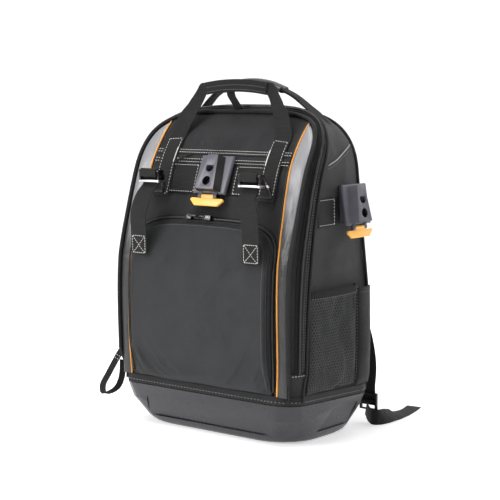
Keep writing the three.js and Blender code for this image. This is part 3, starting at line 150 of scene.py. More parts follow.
class Tree:
    """The nodes of one material, with its Principled shader."""

    def __init__(self, name: str) -> None:
        """Starts a material of that name."""
        self.material = bpy.data.materials.new(name)
        self.material.use_nodes = True
        self.nodes = self.material.node_tree.nodes
        self.links = self.material.node_tree.links
        self.shader = self.nodes["Principled BSDF"]

    def node(self, kind: str, settings: dict[str, Any], inputs: dict[Any, Any], output: Any = 0) -> Value:
        """Adds a node.

        Args:
            kind: The node's type.
            settings: Its own settings, set first.
            inputs: A number, colour or Value for each socket, by name or index.
            output: The output to return.

        Returns:
            That output.
        """
        made = self.nodes.new(kind)
        for key, value in settings.items():
            setattr(made, key, value)
        for key, value in inputs.items():
            self.feed(made.inputs[key], value)
        return Value(self, made.outputs[output])

    def feed(self, socket: Any, value: Any) -> None:
        """Sets or links one socket."""
        if isinstance(value, Value):
            self.links.new(value.socket, socket)
        else:
            socket.default_value = value

    def set(self, **sockets: Any) -> None:
        """Feeds sockets of the shader, named with underscores for spaces."""
        for key, value in sockets.items():
            self.feed(self.shader.inputs[key.replace("_", " ")], value)

    def noise(self, at: Value, scale: float, detail: float = 3.0, rough: float = 0.55) -> Value:
        """Adds noise from 0 to 1."""
        sockets = {"Vector": at, "Scale": scale, "Detail": detail, "Roughness": rough}
        return self.node("ShaderNodeTexNoise", {}, sockets)

    def object_at(self) -> Value:
        """Gives the Object coordinates."""
        return self.node("ShaderNodeTexCoord", {}, {}, "Object")

    def uv(self) -> Value:
        """Gives the piece's UV map, in metres."""
        return self.node("ShaderNodeUVMap", {"uv_map": "UVMap"}, {})

    def split(self, at: Value) -> tuple[Value, Value, Value]:
        """Splits a vector into its three numbers."""
        made = self.node("ShaderNodeSeparateXYZ", {}, {0: at})
        return tuple(Value(self, made.socket.node.outputs[k]) for k in range(3))

    def blend(self, factor: Any, low: Any, high: Any) -> Value:
        """Mixes two colours."""
        low, high = (c if isinstance(c, Value) else (*c, 1.0) for c in (low, high))
        settings = {"data_type": "RGBA", "clamp_factor": True}
        return self.node("ShaderNodeMix", settings, {"Factor": factor, 6: low, 7: high}, 2)

    def ramp(self, value: Value, low: float, high: float) -> Value:
        """Rises softly from 0 at low to 1 at high."""
        return self.node(
            "ShaderNodeMapRange", {"interpolation_type": "SMOOTHSTEP"},
            {"Value": value, "From Min": low, "From Max": high},
        )

    def bump(self, height: Value, distance: float, strength: float = 1.0) -> None:
        """Feeds a height in metres' worth of distance to the shader's normal."""
        sockets = {"Height": height, "Distance": distance, "Strength": strength}
        self.set(Normal=self.node("ShaderNodeBump", {}, sockets))


Colour = tuple[float, float, float]


def times(colour: Colour, factor: float) -> Colour:
    """Scales a colour."""
    return tuple(channel * factor for channel in colour)


@dataclass(frozen=True)
class Woven:
    """A woven fabric whose threads follow the piece's UV map."""

    slot: str
    colour: Colour
    thread: float = 1.3 * MM
    relief: float = 0.35 * MM
    mottle: float = 0.45
    sheen: float = 0.03

    def make(self, tree: Tree) -> None:
        """Lays warp and weft, slubs, and a soft unevenness of colour."""
        at = tree.object_at()
        x, y, _ = tree.split(tree.uv())
        turn = math.tau / self.thread
        weave = (x * turn).sine() * (y * turn).sine()
        slub = tree.noise(at, 420.0, 2.0)
        cloud = tree.noise(at, 26.0, 4.0)
        shade = cloud * 0.6 + slub * 0.4 + weave * 0.12
        low, high = times(self.colour, 1 - self.mottle), times(self.colour, 1 + self.mottle)
        tree.set(Base_Color=tree.blend((shade - 0.32) * 2.6, low, high), Roughness=cloud * 0.2 + 0.48)
        tree.set(Sheen_Weight=self.sheen, Sheen_Roughness=0.5, Specular_IOR_Level=0.35)
        tree.bump(weave * 0.5 + slub * 0.9, self.relief)


@dataclass(frozen=True)
class Webbing:
    """Ribbed webbing: ribs run across the band, which runs along the UV map's y."""

    slot: str
    colour: Colour
    rib: float = 2.1 * MM
    relief: float = 0.4 * MM

    def make(self, tree: Tree) -> None:
        """Lays the ribs, the weave on them and some lint."""
        at = tree.object_at()
        x, y, _ = tree.split(tree.uv())
        rib = (y * (math.tau / self.rib)).sine()
        twill = (x * (math.tau / (1.5 * MM))).sine() * 0.35
        fuzz = tree.noise(at, 700.0, 2.0)
        wear_and_painted_shade = tree.noise(at, 45.0, 4.0)
        shade = rib * 0.14 + wear_and_painted_shade * 0.7 + fuzz * 0.3
        tree.set(Base_Color=tree.blend((shade - 0.3) * 1.8, times(self.colour, 0.6), times(self.colour, 1.9)))
        tree.set(Roughness=wear_and_painted_shade * 0.2 + 0.5, Specular_IOR_Level=0.3)
        tree.bump(rib + twill + fuzz * 0.5, self.relief)


@dataclass(frozen=True)
class Moulded:
    """Moulded plastic or rubber with a fine grain."""

    slot: str
    colour: Colour
    rough: float = 0.42
    grain: float = 900.0
    relief: float = 0.12 * MM
    wear: float = 0.25
    # Whether painted shade from the piece's shade attribute darkens its colour.
    shaded: bool = False

    def make(self, tree: Tree) -> None:
        """Lays the grain, faint scuffs and an uneven gloss, and painted shade on the marked recesses and
        flank if it is shaded.
        """
        at = tree.object_at()
        grain = tree.noise(at, self.grain, 2.0)
        scuff = tree.noise(at, 60.0, 6.0, 0.7)
        low, high = times(self.colour, 1 - self.wear), times(self.colour, 1 + self.wear)
        base = tree.blend((scuff - 0.35) * 2.2, low, high)
        # Painted shade: the hub's marked hole walls, hole floors and flank are blended to near black.
        if self.shaded:
            inner = tree.node("ShaderNodeAttribute", {"attribute_name": PAINTED_SHADE}, {}, "Fac")
            base = tree.blend(inner, base, (0.006, 0.006, 0.007))
        tree.set(Base_Color=base, Roughness=(scuff - 0.5) * 0.3 + self.rough)
        tree.bump(grain + scuff * 0.4, self.relief)


@dataclass(frozen=True)
class Coated:
    """Coated fabric with a satin face, fine grain and soft creases."""

    slot: str
    colour: Colour

    def make(self, tree: Tree) -> None:
        """Lays the grain, the creases, and painted shade that darkens the face towards the foot."""
        at = tree.object_at()
        _, _, z = tree.split(at)
        grain = tree.noise(at, 900.0, 2.0)
        crease = tree.noise(at, 34.0, 5.0, 0.6)
        # Painted shade: below about 0.32 m the face is darkened to a tenth of its colour, and it reaches full
        # colour by 0.42 m.
        wear_and_painted_shade = tree.ramp(z + crease * 0.05, 0.315, 0.42)
        tree.set(Base_Color=tree.blend(wear_and_painted_shade, times(self.colour, 0.1), self.colour))
        tree.set(Roughness=crease * 0.2 + 0.26)
        tree.set(Specular_IOR_Level=0.5)
        tree.bump(grain * 0.25 + crease * 5.0, 0.5 * MM)


@dataclass(frozen=True)
class Plated:
    """Plated steel with brushed patches, bright spots of wear and, where given, a painted highlight band."""

    slot: str
    colour: Colour
    rough: float = 0.18
    # The heights of a painted highlight band on the metal, or zeros for none.
    bare: tuple[float, float] = (0.0, 0.0)

    def make(self, tree: Tree) -> None:
        """Lays the plating and its wear, and a painted highlight band between two heights."""
        at = tree.object_at()
        wear_and_painted_shade = tree.noise(at, 150.0, 5.0, 0.65)
        base = tree.blend((wear_and_painted_shade - 0.5) * 5.0, self.colour, times(self.colour, 3.0))
        # Painted highlight: a pale band between the two heights.
        if self.bare[1]:
            _, _, z = tree.split(at)
            middle, half = sum(self.bare) / 2, (self.bare[1] - self.bare[0]) / 2
            base = tree.blend(tree.ramp((z - middle).size(), half + 0.3 * MM, half), base, (0.6, 0.6, 0.6))
        tree.set(Base_Color=base, Metallic=1.0, Roughness=wear_and_painted_shade * 0.25 + self.rough)
        tree.bump(wear_and_painted_shade, 0.1 * MM)


# The attribute that carries painted shade on the hubs.
PAINTED_SHADE = "shade"
FABRIC = Woven("body_fabric", (0.0125, 0.0128, 0.0145), relief=0.7 * MM)
POCKET = Woven("pocket_fabric", (0.024, 0.025, 0.027), thread=1.7 * MM, relief=0.9 * MM, mottle=0.4)
PAD = Woven("pad_fabric", (0.012, 0.012, 0.0135), thread=2.6 * MM, relief=0.8 * MM)
ORANGE = Woven("orange_piping", (0.9, 0.4, 0.08), thread=0.9 * MM, mottle=0.15, sheen=0.0)
BINDING = Woven("webbing", (0.008, 0.008, 0.009), thread=1.0 * MM, sheen=0.0)
NET = Woven("mesh_fabric", (0.08, 0.08, 0.082), thread=0.8 * MM, sheen=0.0)
WEB = Webbing("webbing", (0.0062, 0.0062, 0.0068))
TAPE = Webbing("zip_tape", (0.006, 0.006, 0.0064), rib=1.1 * MM, relief=0.2 * MM)
GREY = Coated("grey_vinyl", (0.225, 0.223, 0.232))
TRAY = Moulded("tray", (0.017, 0.0155, 0.0205), rough=0.3, grain=1400.0)
# The hubs carry painted shade in their holes and on one flank.
HUB = Moulded("hub_plastic", (0.085, 0.083, 0.102), rough=0.4, wear=0.15, shaded=True)
TAB = Moulded("tab_plastic", (1.0, 0.5, 0.1), rough=0.38, wear=0.05)
LOCK = Moulded("lock_plastic", (0.01, 0.01, 0.011), rough=0.3)
SLEEVE = Moulded("handle_rubber", (0.01, 0.01, 0.011), rough=0.38, grain=500.0)
METAL = Plated("metal", (0.06, 0.06, 0.063))
# The hooks' lower bar carries a painted highlight band between 394 and 397.6 mm.
HOOK = Plated("metal", (0.035, 0.035, 0.037), bare=(394 * MM, 397.6 * MM))
CHROME = Plated("metal", (0.4, 0.4, 0.4), rough=0.12)
COIL = Moulded("zip_tape", (0.012, 0.012, 0.013), rough=0.35, grain=300.0)
THREAD = Woven("webbing", (0.8, 0.78, 0.74), thread=0.6 * MM, mottle=0.1, sheen=0.0)
FAINT_THREAD = Woven("body_fabric", (0.24, 0.235, 0.22), thread=0.6 * MM, mottle=0.3, sheen=0.0)

_made: dict[Any, bpy.types.Material] = {}


def material_of(finish: Any, name: str = "") -> bpy.types.Material:
    """Builds a finish's material once and returns it."""
    if finish not in _made:
        tree = Tree(name or f"{type(finish).__name__}_{finish.slot}_{len(_made)}")
        finish.make(tree)
        _made[finish] = tree.material
    return _made[finish]


class Body(Enum):
    """The rigid bodies of the frame."""

    PACK = "pack"
    FRONT_TAB = "front_tab"
    SIDE_TAB = "side_tab"


def to_object(bm: bmesh.types.BMesh, name: str, sharp: float = 0.0) -> bpy.types.Object:
    """Makes an object from a bmesh, smooth shaded.

    Args:
        bm: The shape, which is freed.
        name: The object's name.
        sharp: The angle in degrees past which edges stay sharp, or 0.

    Returns:
        The new object, at the origin.
    """
    mesh = bpy.data.meshes.new(name)
    bm.to_mesh(mesh)
    bm.free()
    mesh.polygons.foreach_set("use_smooth", [True] * len(mesh.polygons))
    if sharp:
        mesh.set_sharp_from_angle(angle=math.radians(sharp))
    made = bpy.data.objects.new(name, mesh)
    bpy.context.scene.collection.objects.link(made)
    return made


def dress(
    made: bpy.types.Object, finish: Any, nodes: Iterable[str] = (), body: Body = Body.PACK,
) -> bpy.types.Object:
    """Gives a piece its finish, its body and the nodes it stands for.

    Args:
        made: The piece.
        finish: Its finish.
        nodes: The CAD nodes that it replaces.
        body: The body that it rides on.

    Returns:
        The piece.
    """
    made.data.materials.clear()
    made.data.materials.append(material_of(finish))
    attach(made, body.value)
    if nodes:
        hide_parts(*nodes)
    LOG.info("%s: %d faces", made.name, len(made.data.polygons))
    return made


def thicken(made: bpy.types.Object, wall: float, levels: int = 0) -> bpy.types.Object:
    """Gives an open skin a wall behind its face, and smooths it if levels is more than 0."""
    solid = made.modifiers.new("wall", "SOLIDIFY")
    solid.thickness = wall
    solid.offset = -1.0
    if levels:
        round_off = made.modifiers.new("smooth", "SUBSURF")
        round_off.levels = round_off.render_levels = levels
    return made


def skin(
    place: Place, columns: int, rows: int, wrap: bool = False, wrap_rows: bool = False, caps: bool = False,
    facing: Vector | None = None,
) -> bmesh.types.BMesh:
    """Bends a grid into a skin, with a UV map in metres along its two ways.

    Args:
        place: Gives the point at shares (u, w) of the grid's two ways.
        columns: Cells along u.
        rows: Cells along w.
        wrap: Whether the skin closes on itself along u.
        wrap_rows: Whether it closes on itself along w.
        caps: Whether its open ends are filled.
        facing: The way the faces should point at the middle, for an open skin.

    Returns:
        The skin.
    """
    bm = bmesh.new()
    bmesh.ops.create_grid(bm, x_segments=columns, y_segments=rows, size=0.5)
    spots = {v: (round((v.co.x + 0.5) * columns), round((v.co.y + 0.5) * rows)) for v in bm.verts}
    cells = {spot: v for v, spot in spots.items()}
    for vert, (i, j) in spots.items():
        vert.co = place(i / columns, j / rows)
    along = {}
    for j in range(rows + 1):
        run = 0.0
        for i in range(columns + 1):
            run += (cells[i, j].co - cells[i - 1, j].co).length if i else 0.0
            along[i, j] = run
    across = {}
    for i in range(columns + 1):
        run = 0.0
        for j in range(rows + 1):
            run += (cells[i, j].co - cells[i, j - 1].co).length if j else 0.0
            across[i, j] = run
    layer = bm.loops.layers.uv.new("UVMap")
    for face in bm.faces:
        for loop in face.loops:
            spot = spots[loop.vert]
            loop[layer].uv = (along[spot], across[spot])
    if wrap or wrap_rows:
        bmesh.ops.remove_doubles(bm, verts=bm.verts, dist=1e-6)
    if caps:
        bmesh.ops.holes_fill(bm, edges=[e for e in bm.edges if e.is_boundary], sides=0)
    if wrap and (caps or wrap_rows):
        bmesh.ops.recalc_face_normals(bm, faces=bm.faces)
    elif facing is not None:
        bm.normal_update()
        total = sum((f.normal * f.calc_area() for f in bm.faces), Vector())
        if total.dot(facing) < 0:
            bmesh.ops.reverse_faces(bm, faces=bm.faces)
    return bm


def frame_of(path: Path, t: float, up: Vector) -> tuple[Vector, Vector, Vector]:
    """Gives the point, side and top directions of a path at share t."""
    step = 1e-3
    tangent = (path(min(t + step, 1.0)) - path(max(t - step, 0.0))).normalized()
    side = up.cross(tangent).normalized()
    return path(t), side, tangent.cross(side).normalized()


def rod(path: Path, radius: Callable[[float], float] | float, steps: int, sides: int = 10,
        up: Vector = Vector((0, -1, 0))) -> bmesh.types.BMesh:
    """Makes a closed rod along a path, whose radius may change along it."""
    size = radius if callable(radius) else (lambda _: radius)

    def place(u: float, w: float) -> Vector:
        """Gives a point on the rod."""
        at, side, top = frame_of(path, w, up)
        turn = u * math.tau
        return at + (side * math.cos(turn) + top * math.sin(turn)) * size(w)

    return skin(place, sides, steps, wrap=True, caps=True)


@dataclass(frozen=True)
class Row:
    """One section of a band: its middle, the way across it, its width and its thickness."""

    at: Vector
    across: Vector
    wide: float
    thick: float = 1.6 * MM


@dataclass(frozen=True)
class Band:
    """A flat or padded band through a few sections."""

    rows: Sequence[Row]

    def frame(self, t: float) -> tuple[Vector, Vector, Vector, float, float]:
        """Gives the middle, side and outward directions, width and thickness at share t."""
        points = [row.at for row in self.rows]
        step = 0.004
        tangent = (spline(points, t + step) - spline(points, t - step)).normalized()
        at = min(max(t, 0.0), 1.0) * (len(self.rows) - 1)
        i = min(int(at), len(self.rows) - 2)
        low, high = self.rows[i], self.rows[i + 1]
        f = at - i
        soft = f * f * (3 - 2 * f)
        across = low.across.normalized().lerp(high.across.normalized(), soft)
        side = (across - tangent * across.dot(tangent)).normalized()
        return (
            spline(points, t), side, tangent.cross(side).normalized(),
            mix(low.wide, high.wide, soft), mix(low.thick, high.thick, soft),
        )

    def point(self, s: float, t: float, lift: float = 0.0, face: int = 1) -> Vector:
        """Gives a point on a face of the band.

        Args:
            s: The place across, from -1 to 1.
            t: The place along, from 0 to 1.
            lift: How far it stands off the face.
            face: 1 or -1, the face.

        Returns:
            The point.
        """
        at, side, out, wide, thick = self.frame(t)
        return at + side * (s * wide / 2) + out * (face * (thick / 2 + lift))

    def mesh(self, steps: int, power: float = 7.0, crown: float = 0.0, around: int = 28) -> bmesh.types.BMesh:
        """Makes the band's closed skin.

        Args:
            steps: Sections along it.
            power: How square its section is.
            crown: How much thicker its middle is, as a share.
            around: Corners of a section.

        Returns:
            The skin.
        """
        def place(u: float, w: float) -> Vector:
            """Gives a point on the band's section."""
            at, side, out, wide, thick = self.frame(w)
            turn = u * math.tau
            c, s = math.cos(turn), math.sin(turn)
            x = math.copysign(abs(c) ** (2 / power), c)
            y = math.copysign(abs(s) ** (2 / power), s)
            return at + side * (x * wide / 2) + out * (y * thick / 2 * (1 + crown * (1 - x * x)))

        return skin(place, around, steps, wrap=True, caps=True)


def gather(whole: bmesh.types.BMesh, part: bmesh.types.BMesh) -> None:
    """Adds a part to a shape, and frees the part."""
    mesh = bpy.data.meshes.new("part")
    part.to_mesh(mesh)
    part.free()
    whole.from_mesh(mesh)
    bpy.data.meshes.remove(mesh)


class Stitches:
    """Stitches gathered into one mesh."""

    def __init__(self, radius: float = 0.48 * MM, length: float = 3.3 * MM, pitch: float = 5.0 * MM) -> None:
        """Starts an empty row of stitches of one size."""
        self.bm = bmesh.new()
        self.radius, self.length, self.pitch = radius, length, pitch

    def run(self, path: Path, samples: int = 60) -> "Stitches":
        """Sews along a path at the pitch."""
        row = bmesh.new()
        points = [path(k / samples) for k in range(samples + 1)]
        since = self.pitch / 2
        for a, b in zip(points, points[1:]):
            span = (b - a).length
            if span < 1e-7:
                continue
            way = (b - a) / span
            while since < span:
                self.stitch(row, a + way * since, way)
                since += self.pitch
            since -= span
        gather(self.bm, row)
        return self

    def line(self, a: Vector, b: Vector) -> "Stitches":
        """Sews a straight row."""
        return self.run(lambda t: a.lerp(b, t), 1)

    def box(
        self, place: Place, low: tuple[float, float], high: tuple[float, float], cross: bool = False,
    ) -> "Stitches":
        """Sews a box on a surface, and a cross in it if wanted.

        Args:
            place: The surface.
            low: The box's first corner on it.
            high: The opposite corner.
            cross: Whether to sew both diagonals.

        Returns:
            These stitches.
        """
        (a, b), (c, d) = low, high
        rows = [(a, b, c, b), (c, b, c, d), (c, d, a, d), (a, d, a, b)]
        rows += [(a, b, c, d), (a, d, c, b)] if cross else []
        for p in rows:
            self.run(lambda t, p=p: place(mix(p[0], p[2], t), mix(p[1], p[3], t)), 12)
        return self

    def stitch(self, row: bmesh.types.BMesh, at: Vector, way: Vector) -> None:
        """Adds one stitch to a row."""
        turn = way.to_track_quat("Z", "Y").to_matrix().to_4x4()
        size = Matrix.Diagonal((self.radius, self.radius, self.length / 2, 1))
        bmesh.ops.create_uvsphere(
            row, u_segments=6, v_segments=4, radius=1.0, matrix=Matrix.Translation(at) @ turn @ size,
        )

    def done(self, name: str, finish: Any = THREAD, body: Body = Body.PACK) -> None:
        """Ends the piece and dresses it."""
        dress(to_object(self.bm, name), finish, body=body)


def copy_of(node: str, bevel: float, sharp: float = 32.0, angle: float = 28.0) -> bmesh.types.BMesh:
    """Copies a CAD node's shape, merged, with its edges eased.

    Args:
        node: The node.
        bevel: The bevel's width.
        sharp: Unused edges below this angle are dissolved away at a fifth of it.
        angle: Edges sharper than this are bevelled.

    Returns:
        The eased shape.
    """
    bm = bmesh.new()
    bm.from_mesh(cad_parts[node].data)
    bmesh.ops.remove_doubles(bm, verts=bm.verts, dist=5e-6)
    bmesh.ops.dissolve_limit(bm, angle_limit=math.radians(sharp / 20), verts=bm.verts, edges=bm.edges)
    edges = [e for e in bm.edges if e.is_manifold and e.calc_face_angle(0.0) > math.radians(angle)]
    bmesh.ops.bevel(
        bm, geom=edges, offset=bevel, segments=2, profile=0.5, affect="EDGES", material=-1,
        clamp_overlap=True, offset_type="OFFSET",
    )
    return bm


def settle(made: bpy.types.Object, pinned: Callable[[Vector], bool], pressure: float, slack: float,
           cap: float, frames: int = 18) -> None:
    """Lets a skin settle as cloth, and applies the result.

    Args:
        made: The piece, whose mesh is changed.
        pinned: Tells which points are sewn down.
        pressure: The padding's pressure.
        slack: How much longer the cloth is than its shape, as a share.
        cap: The furthest that a point may move.
        frames: How long it settles.
    """
    scene = bpy.context.scene
    before = [v.co.copy() for v in made.data.vertices]
    group = made.vertex_groups.new(name="sewn")
    group.add([i for i, co in enumerate(before) if pinned(co)], 1.0, "REPLACE")
    cloth = made.modifiers.new("cloth", "CLOTH")
    rules = cloth.settings
    rules.vertex_group_mass = "sewn"
    rules.quality = 6
    rules.tension_stiffness = rules.compression_stiffness = 25
    rules.bending_stiffness = 1.5
    rules.use_pressure = True
    rules.uniform_pressure_force = pressure
    rules.shrink_min = -slack
    rules.effector_weights.gravity = 0.25
    for number in range(1, frames + 1):
        scene.frame_set(number)
    shape = made.evaluated_get(bpy.context.evaluated_depsgraph_get()).data
    after = [v.co.copy() for v in shape.vertices]
    made.modifiers.remove(cloth)
    made.vertex_groups.clear()
    for vert, old, new in zip(made.data.vertices, before, after):
        move = new - old
        vert.co = old + move * min(1.0, cap / max(move.length, 1e-9))
    made.data.update()
    scene.frame_set(1)


def rumple(
    at: Vector, size: float, depth: float, squash: Vector = Vector((1, 1, 1)), seed: float = 0.0,
) -> float:
    """Gives a soft, seeded unevenness of the given size and depth, stretched by squash."""
    spot = Vector((at.x * squash.x, at.y * squash.y, at.z * squash.z)) / size
    spot = spot + Vector((seed, seed * 2, -seed))
    return (noise.noise(spot) + 0.45 * noise.noise(spot * 2.3)) * depth


@dataclass(frozen=True)
class RingShape:
    """A seam that rings the bag: shares of the half width and top, how square its arch is, its taper."""

    width: float
    top: float
    power: float
    taper: float = 0.0


RIM = RingShape(0.955, 0.973, 4.2)
SEAM = RingShape(1.01, 0.988, 3.2)
BACK = RingShape(0.933, 0.968, 2.7, 0.13)


@dataclass(frozen=True)
class Bag:
    """The bag's own surface, from the front rim (v = 0) by the side seam (v = 1) to the back (v = 2)."""

    half_width: float = 178 * MM
    half_depth: float = 112.5 * MM
    top: float = 518 * MM
    shoulder: float = 405 * MM
    rim_front: float = 67 * MM
    rim_back: float = 58 * MM
    corner: float = 40 * MM
    tray_half: float = 177 * MM
    back_y: float = 110.3 * MM
    tuck_low: float = 82 * MM
    tuck_high: float = 124 * MM
    tucked: float = 2.2 * MM
    taper_from: float = 230 * MM
    side_share: float = 0.62
    profile_low: float = 84 * MM
    front_rows: Sequence[tuple[float, float]] = (
        (0.120, 0.950), (0.386, 0.987), (0.521, 0.962), (0.598, 0.885), (0.662, 0.800),
        (0.749, 0.680), (0.826, 0.547), (0.900, 0.325), (0.956, 0.085), (0.984, -0.030),
    )
    seam_rows: Sequence[tuple[float, float]] = (
        (0.120, 0.729), (0.220, 0.716), (0.436, 0.660), (0.637, 0.545),
        (0.782, 0.400), (0.851, 0.260), (0.927, 0.060), (1.000, -0.250),
    )

    def front_y(self, z: float) -> float:
        """Gives the front's y at a height."""
        return -self.half_depth * curve_at(self.front_rows, max(z, self.profile_low) / self.top)

    def seam_y(self, z: float) -> float:
        """Gives the side seam's y at a height."""
        return -self.half_depth * curve_at(self.seam_rows, max(z, self.profile_low) / self.top)

    def rim_z(self, y: float) -> float:
        """Gives the height of the tray's rim."""
        return mix(self.rim_front, self.rim_back, (y + self.half_depth) / (2 * self.half_depth))

    def ring_width(self, ring: RingShape, z: float) -> float:
        """Gives a ring's half width at a height."""
        return self.half_width * ring.width - ring.taper * max(z - self.taper_from, 0.0)

    def ring_xz(self, ring: RingShape, s: float, out: float = 0.0) -> tuple[float, float]:
        """Gives a ring's x and z at share s of its way from the right foot over the top."""
        sign = 1 if s <= 0.5 else -1
        t = 1 - abs(2 * s - 1)
        if t <= self.side_share:
            z = mix(self.rim_back, self.shoulder, t / self.side_share)
            return sign * (self.ring_width(ring, z) + out), z
        turn = (t - self.side_share) / (1 - self.side_share) * math.pi / 2
        rise = math.sin(turn) ** (2 / ring.power)
        reach = max(math.cos(turn), 0.0) ** (2 / ring.power)
        z = self.shoulder + (self.top * ring.top + out - self.shoulder) * rise
        return sign * (self.ring_width(ring, min(z, self.top)) + out) * reach, z

    def tuck(self, p: Vector, out: float) -> Vector:
        """Pulls a low point inside the tray's rim."""
        inset = self.tucked - out
        radius = self.corner - inset
        cx, cy = self.tray_half - inset - radius, self.half_depth - inset - radius
        dx, dy = max(abs(p.x) - cx, 0.0), max(abs(p.y) - cy, 0.0)
        reach = math.hypot(dx, dy)
        z = max(p.z, self.rim_z(p.y) + 0.5 * MM)
        if reach <= radius:
            return Vector((p.x, p.y, z))
        pull = mix(radius / reach, 1.0, smooth(self.tuck_low, self.tuck_high, p.z))
        x = math.copysign(abs(p.x) - dx + dx * pull, p.x)
        y = math.copysign(abs(p.y) - dy + dy * pull, p.y)
        return Vector((x, y, z))

    def point(self, s: float, v: float, out: float = 0.0) -> Vector:
        """Gives the surface at share s round the bag and depth v, moved out."""
        (x0, z0), (x1, z1), (x2, z2) = (self.ring_xz(ring, s, out) for ring in (RIM, SEAM, BACK))
        sign = 1 if s <= 0.5 else -1
        if v <= 1:
            bow, z, x = 3 * MM * math.sin(math.pi * v), mix(z0, z1, v), mix(x0, x1, v)
            y = mix(self.front_y(z0) - out, self.seam_y(z1), v)
        else:
            t = v - 1
            bow, z, x = 5 * MM * math.sin(math.pi * t), mix(z1, z2, t), mix(x1, x2, t)
            y = mix(self.seam_y(z1), self.back_y + out, t)
        upper = smooth(self.shoulder, self.top, z)
        return self.tuck(Vector((x + sign * bow * (1 - upper), y, z + bow * upper)), out)

    def normal(self, s: float, v: float) -> Vector:
        """Gives the surface's outward direction."""
        ds, dv = 0.004, 0.05
        run = self.point(min(s + ds, 1), v) - self.point(max(s - ds, 0), v)
        back = self.point(s, min(v + dv, 1.93)) - self.point(s, max(v - dv, 0.0))
        return back.cross(run).normalized()

    def side(self, y: float, z: float, sign: int, out: float = 0.0) -> Vector:
        """Finds the surface's point on one side at a given y and z."""
        s, v = 0.25, 1.5
        for _ in range(6):
            low, high = 0.0, 0.5
            for _ in range(16):
                s = (low + high) / 2
                low, high = (s, high) if self.point(s, v).z < z else (low, s)
            low, high = 0.0, 1.98
            for _ in range(16):
                v = (low + high) / 2
                low, high = (v, high) if self.point(s, v).y < y else (low, v)
        at = self.point(s, v) + self.normal(s, v) * out
        return Vector((sign * at.x, at.y, at.z))

    def front(self, x: float, z: float, out: float = 0.0) -> Vector:
        """Gives the front panel's surface at x and z, moved out at right angles."""
        step = 4 * MM
        slope = (self.front_y(z + step) - self.front_y(z - step)) / (2 * step)
        return Vector((x, self.front_y(z) - out * math.hypot(1, slope), z))


BAG = Bag()


def arch_patch(edge: Callable[[float], tuple[float, float]], a: float, b: float,
               centre: tuple[float, float]) -> tuple[float, float, float]:
    """Maps a square's point to the inside of an outline.

    Args:
        edge: The outline at shares 0 to 1: right side, top, left side, foot, a quarter each.
        a: The place across, from -1 to 1.
        b: The place up, from -1 to 1.
        centre: The outline's middle.

    Returns:
        The point's x and z, and how near the edge it is, from 0 to 1.
    """
    m = max(abs(a), abs(b))
    if m < 1e-9:
        return *centre, 0.0
    a, b = a / m, b / m
    if abs(a) >= abs(b):
        t = (b + 1) / 8 if a > 0 else 0.5 + (1 - b) / 8
    else:
        t = 0.25 + (1 - a) / 8 if b > 0 else 0.75 + (a + 1) / 8
    x, z = edge(t)
    return mix(centre[0], x, m), mix(centre[1], z, m), m


def ring_edge(ring: RingShape, inset: float, foot: float) -> Callable[[float], tuple[float, float]]:
    """Makes a panel's outline from one ring of the bag."""
    def edge(t: float) -> tuple[float, float]:
        """Gives a point of the outline."""
        if t >= 0.75:
            x0, _ = BAG.ring_xz(ring, 0.0, -inset)
            return mix(-x0, x0, (t - 0.75) * 4), foot
        if t < 0.25:
            s = t / 0.25 * 0.4
        elif t < 0.5:
            s = 0.4 + (t - 0.25) / 0.25 * 0.2
        else:
            s = 0.6 + (t - 0.5) / 0.25 * 0.4
        x, z = BAG.ring_xz(ring, s, -inset)
        return x, max(z, foot)

    return edge


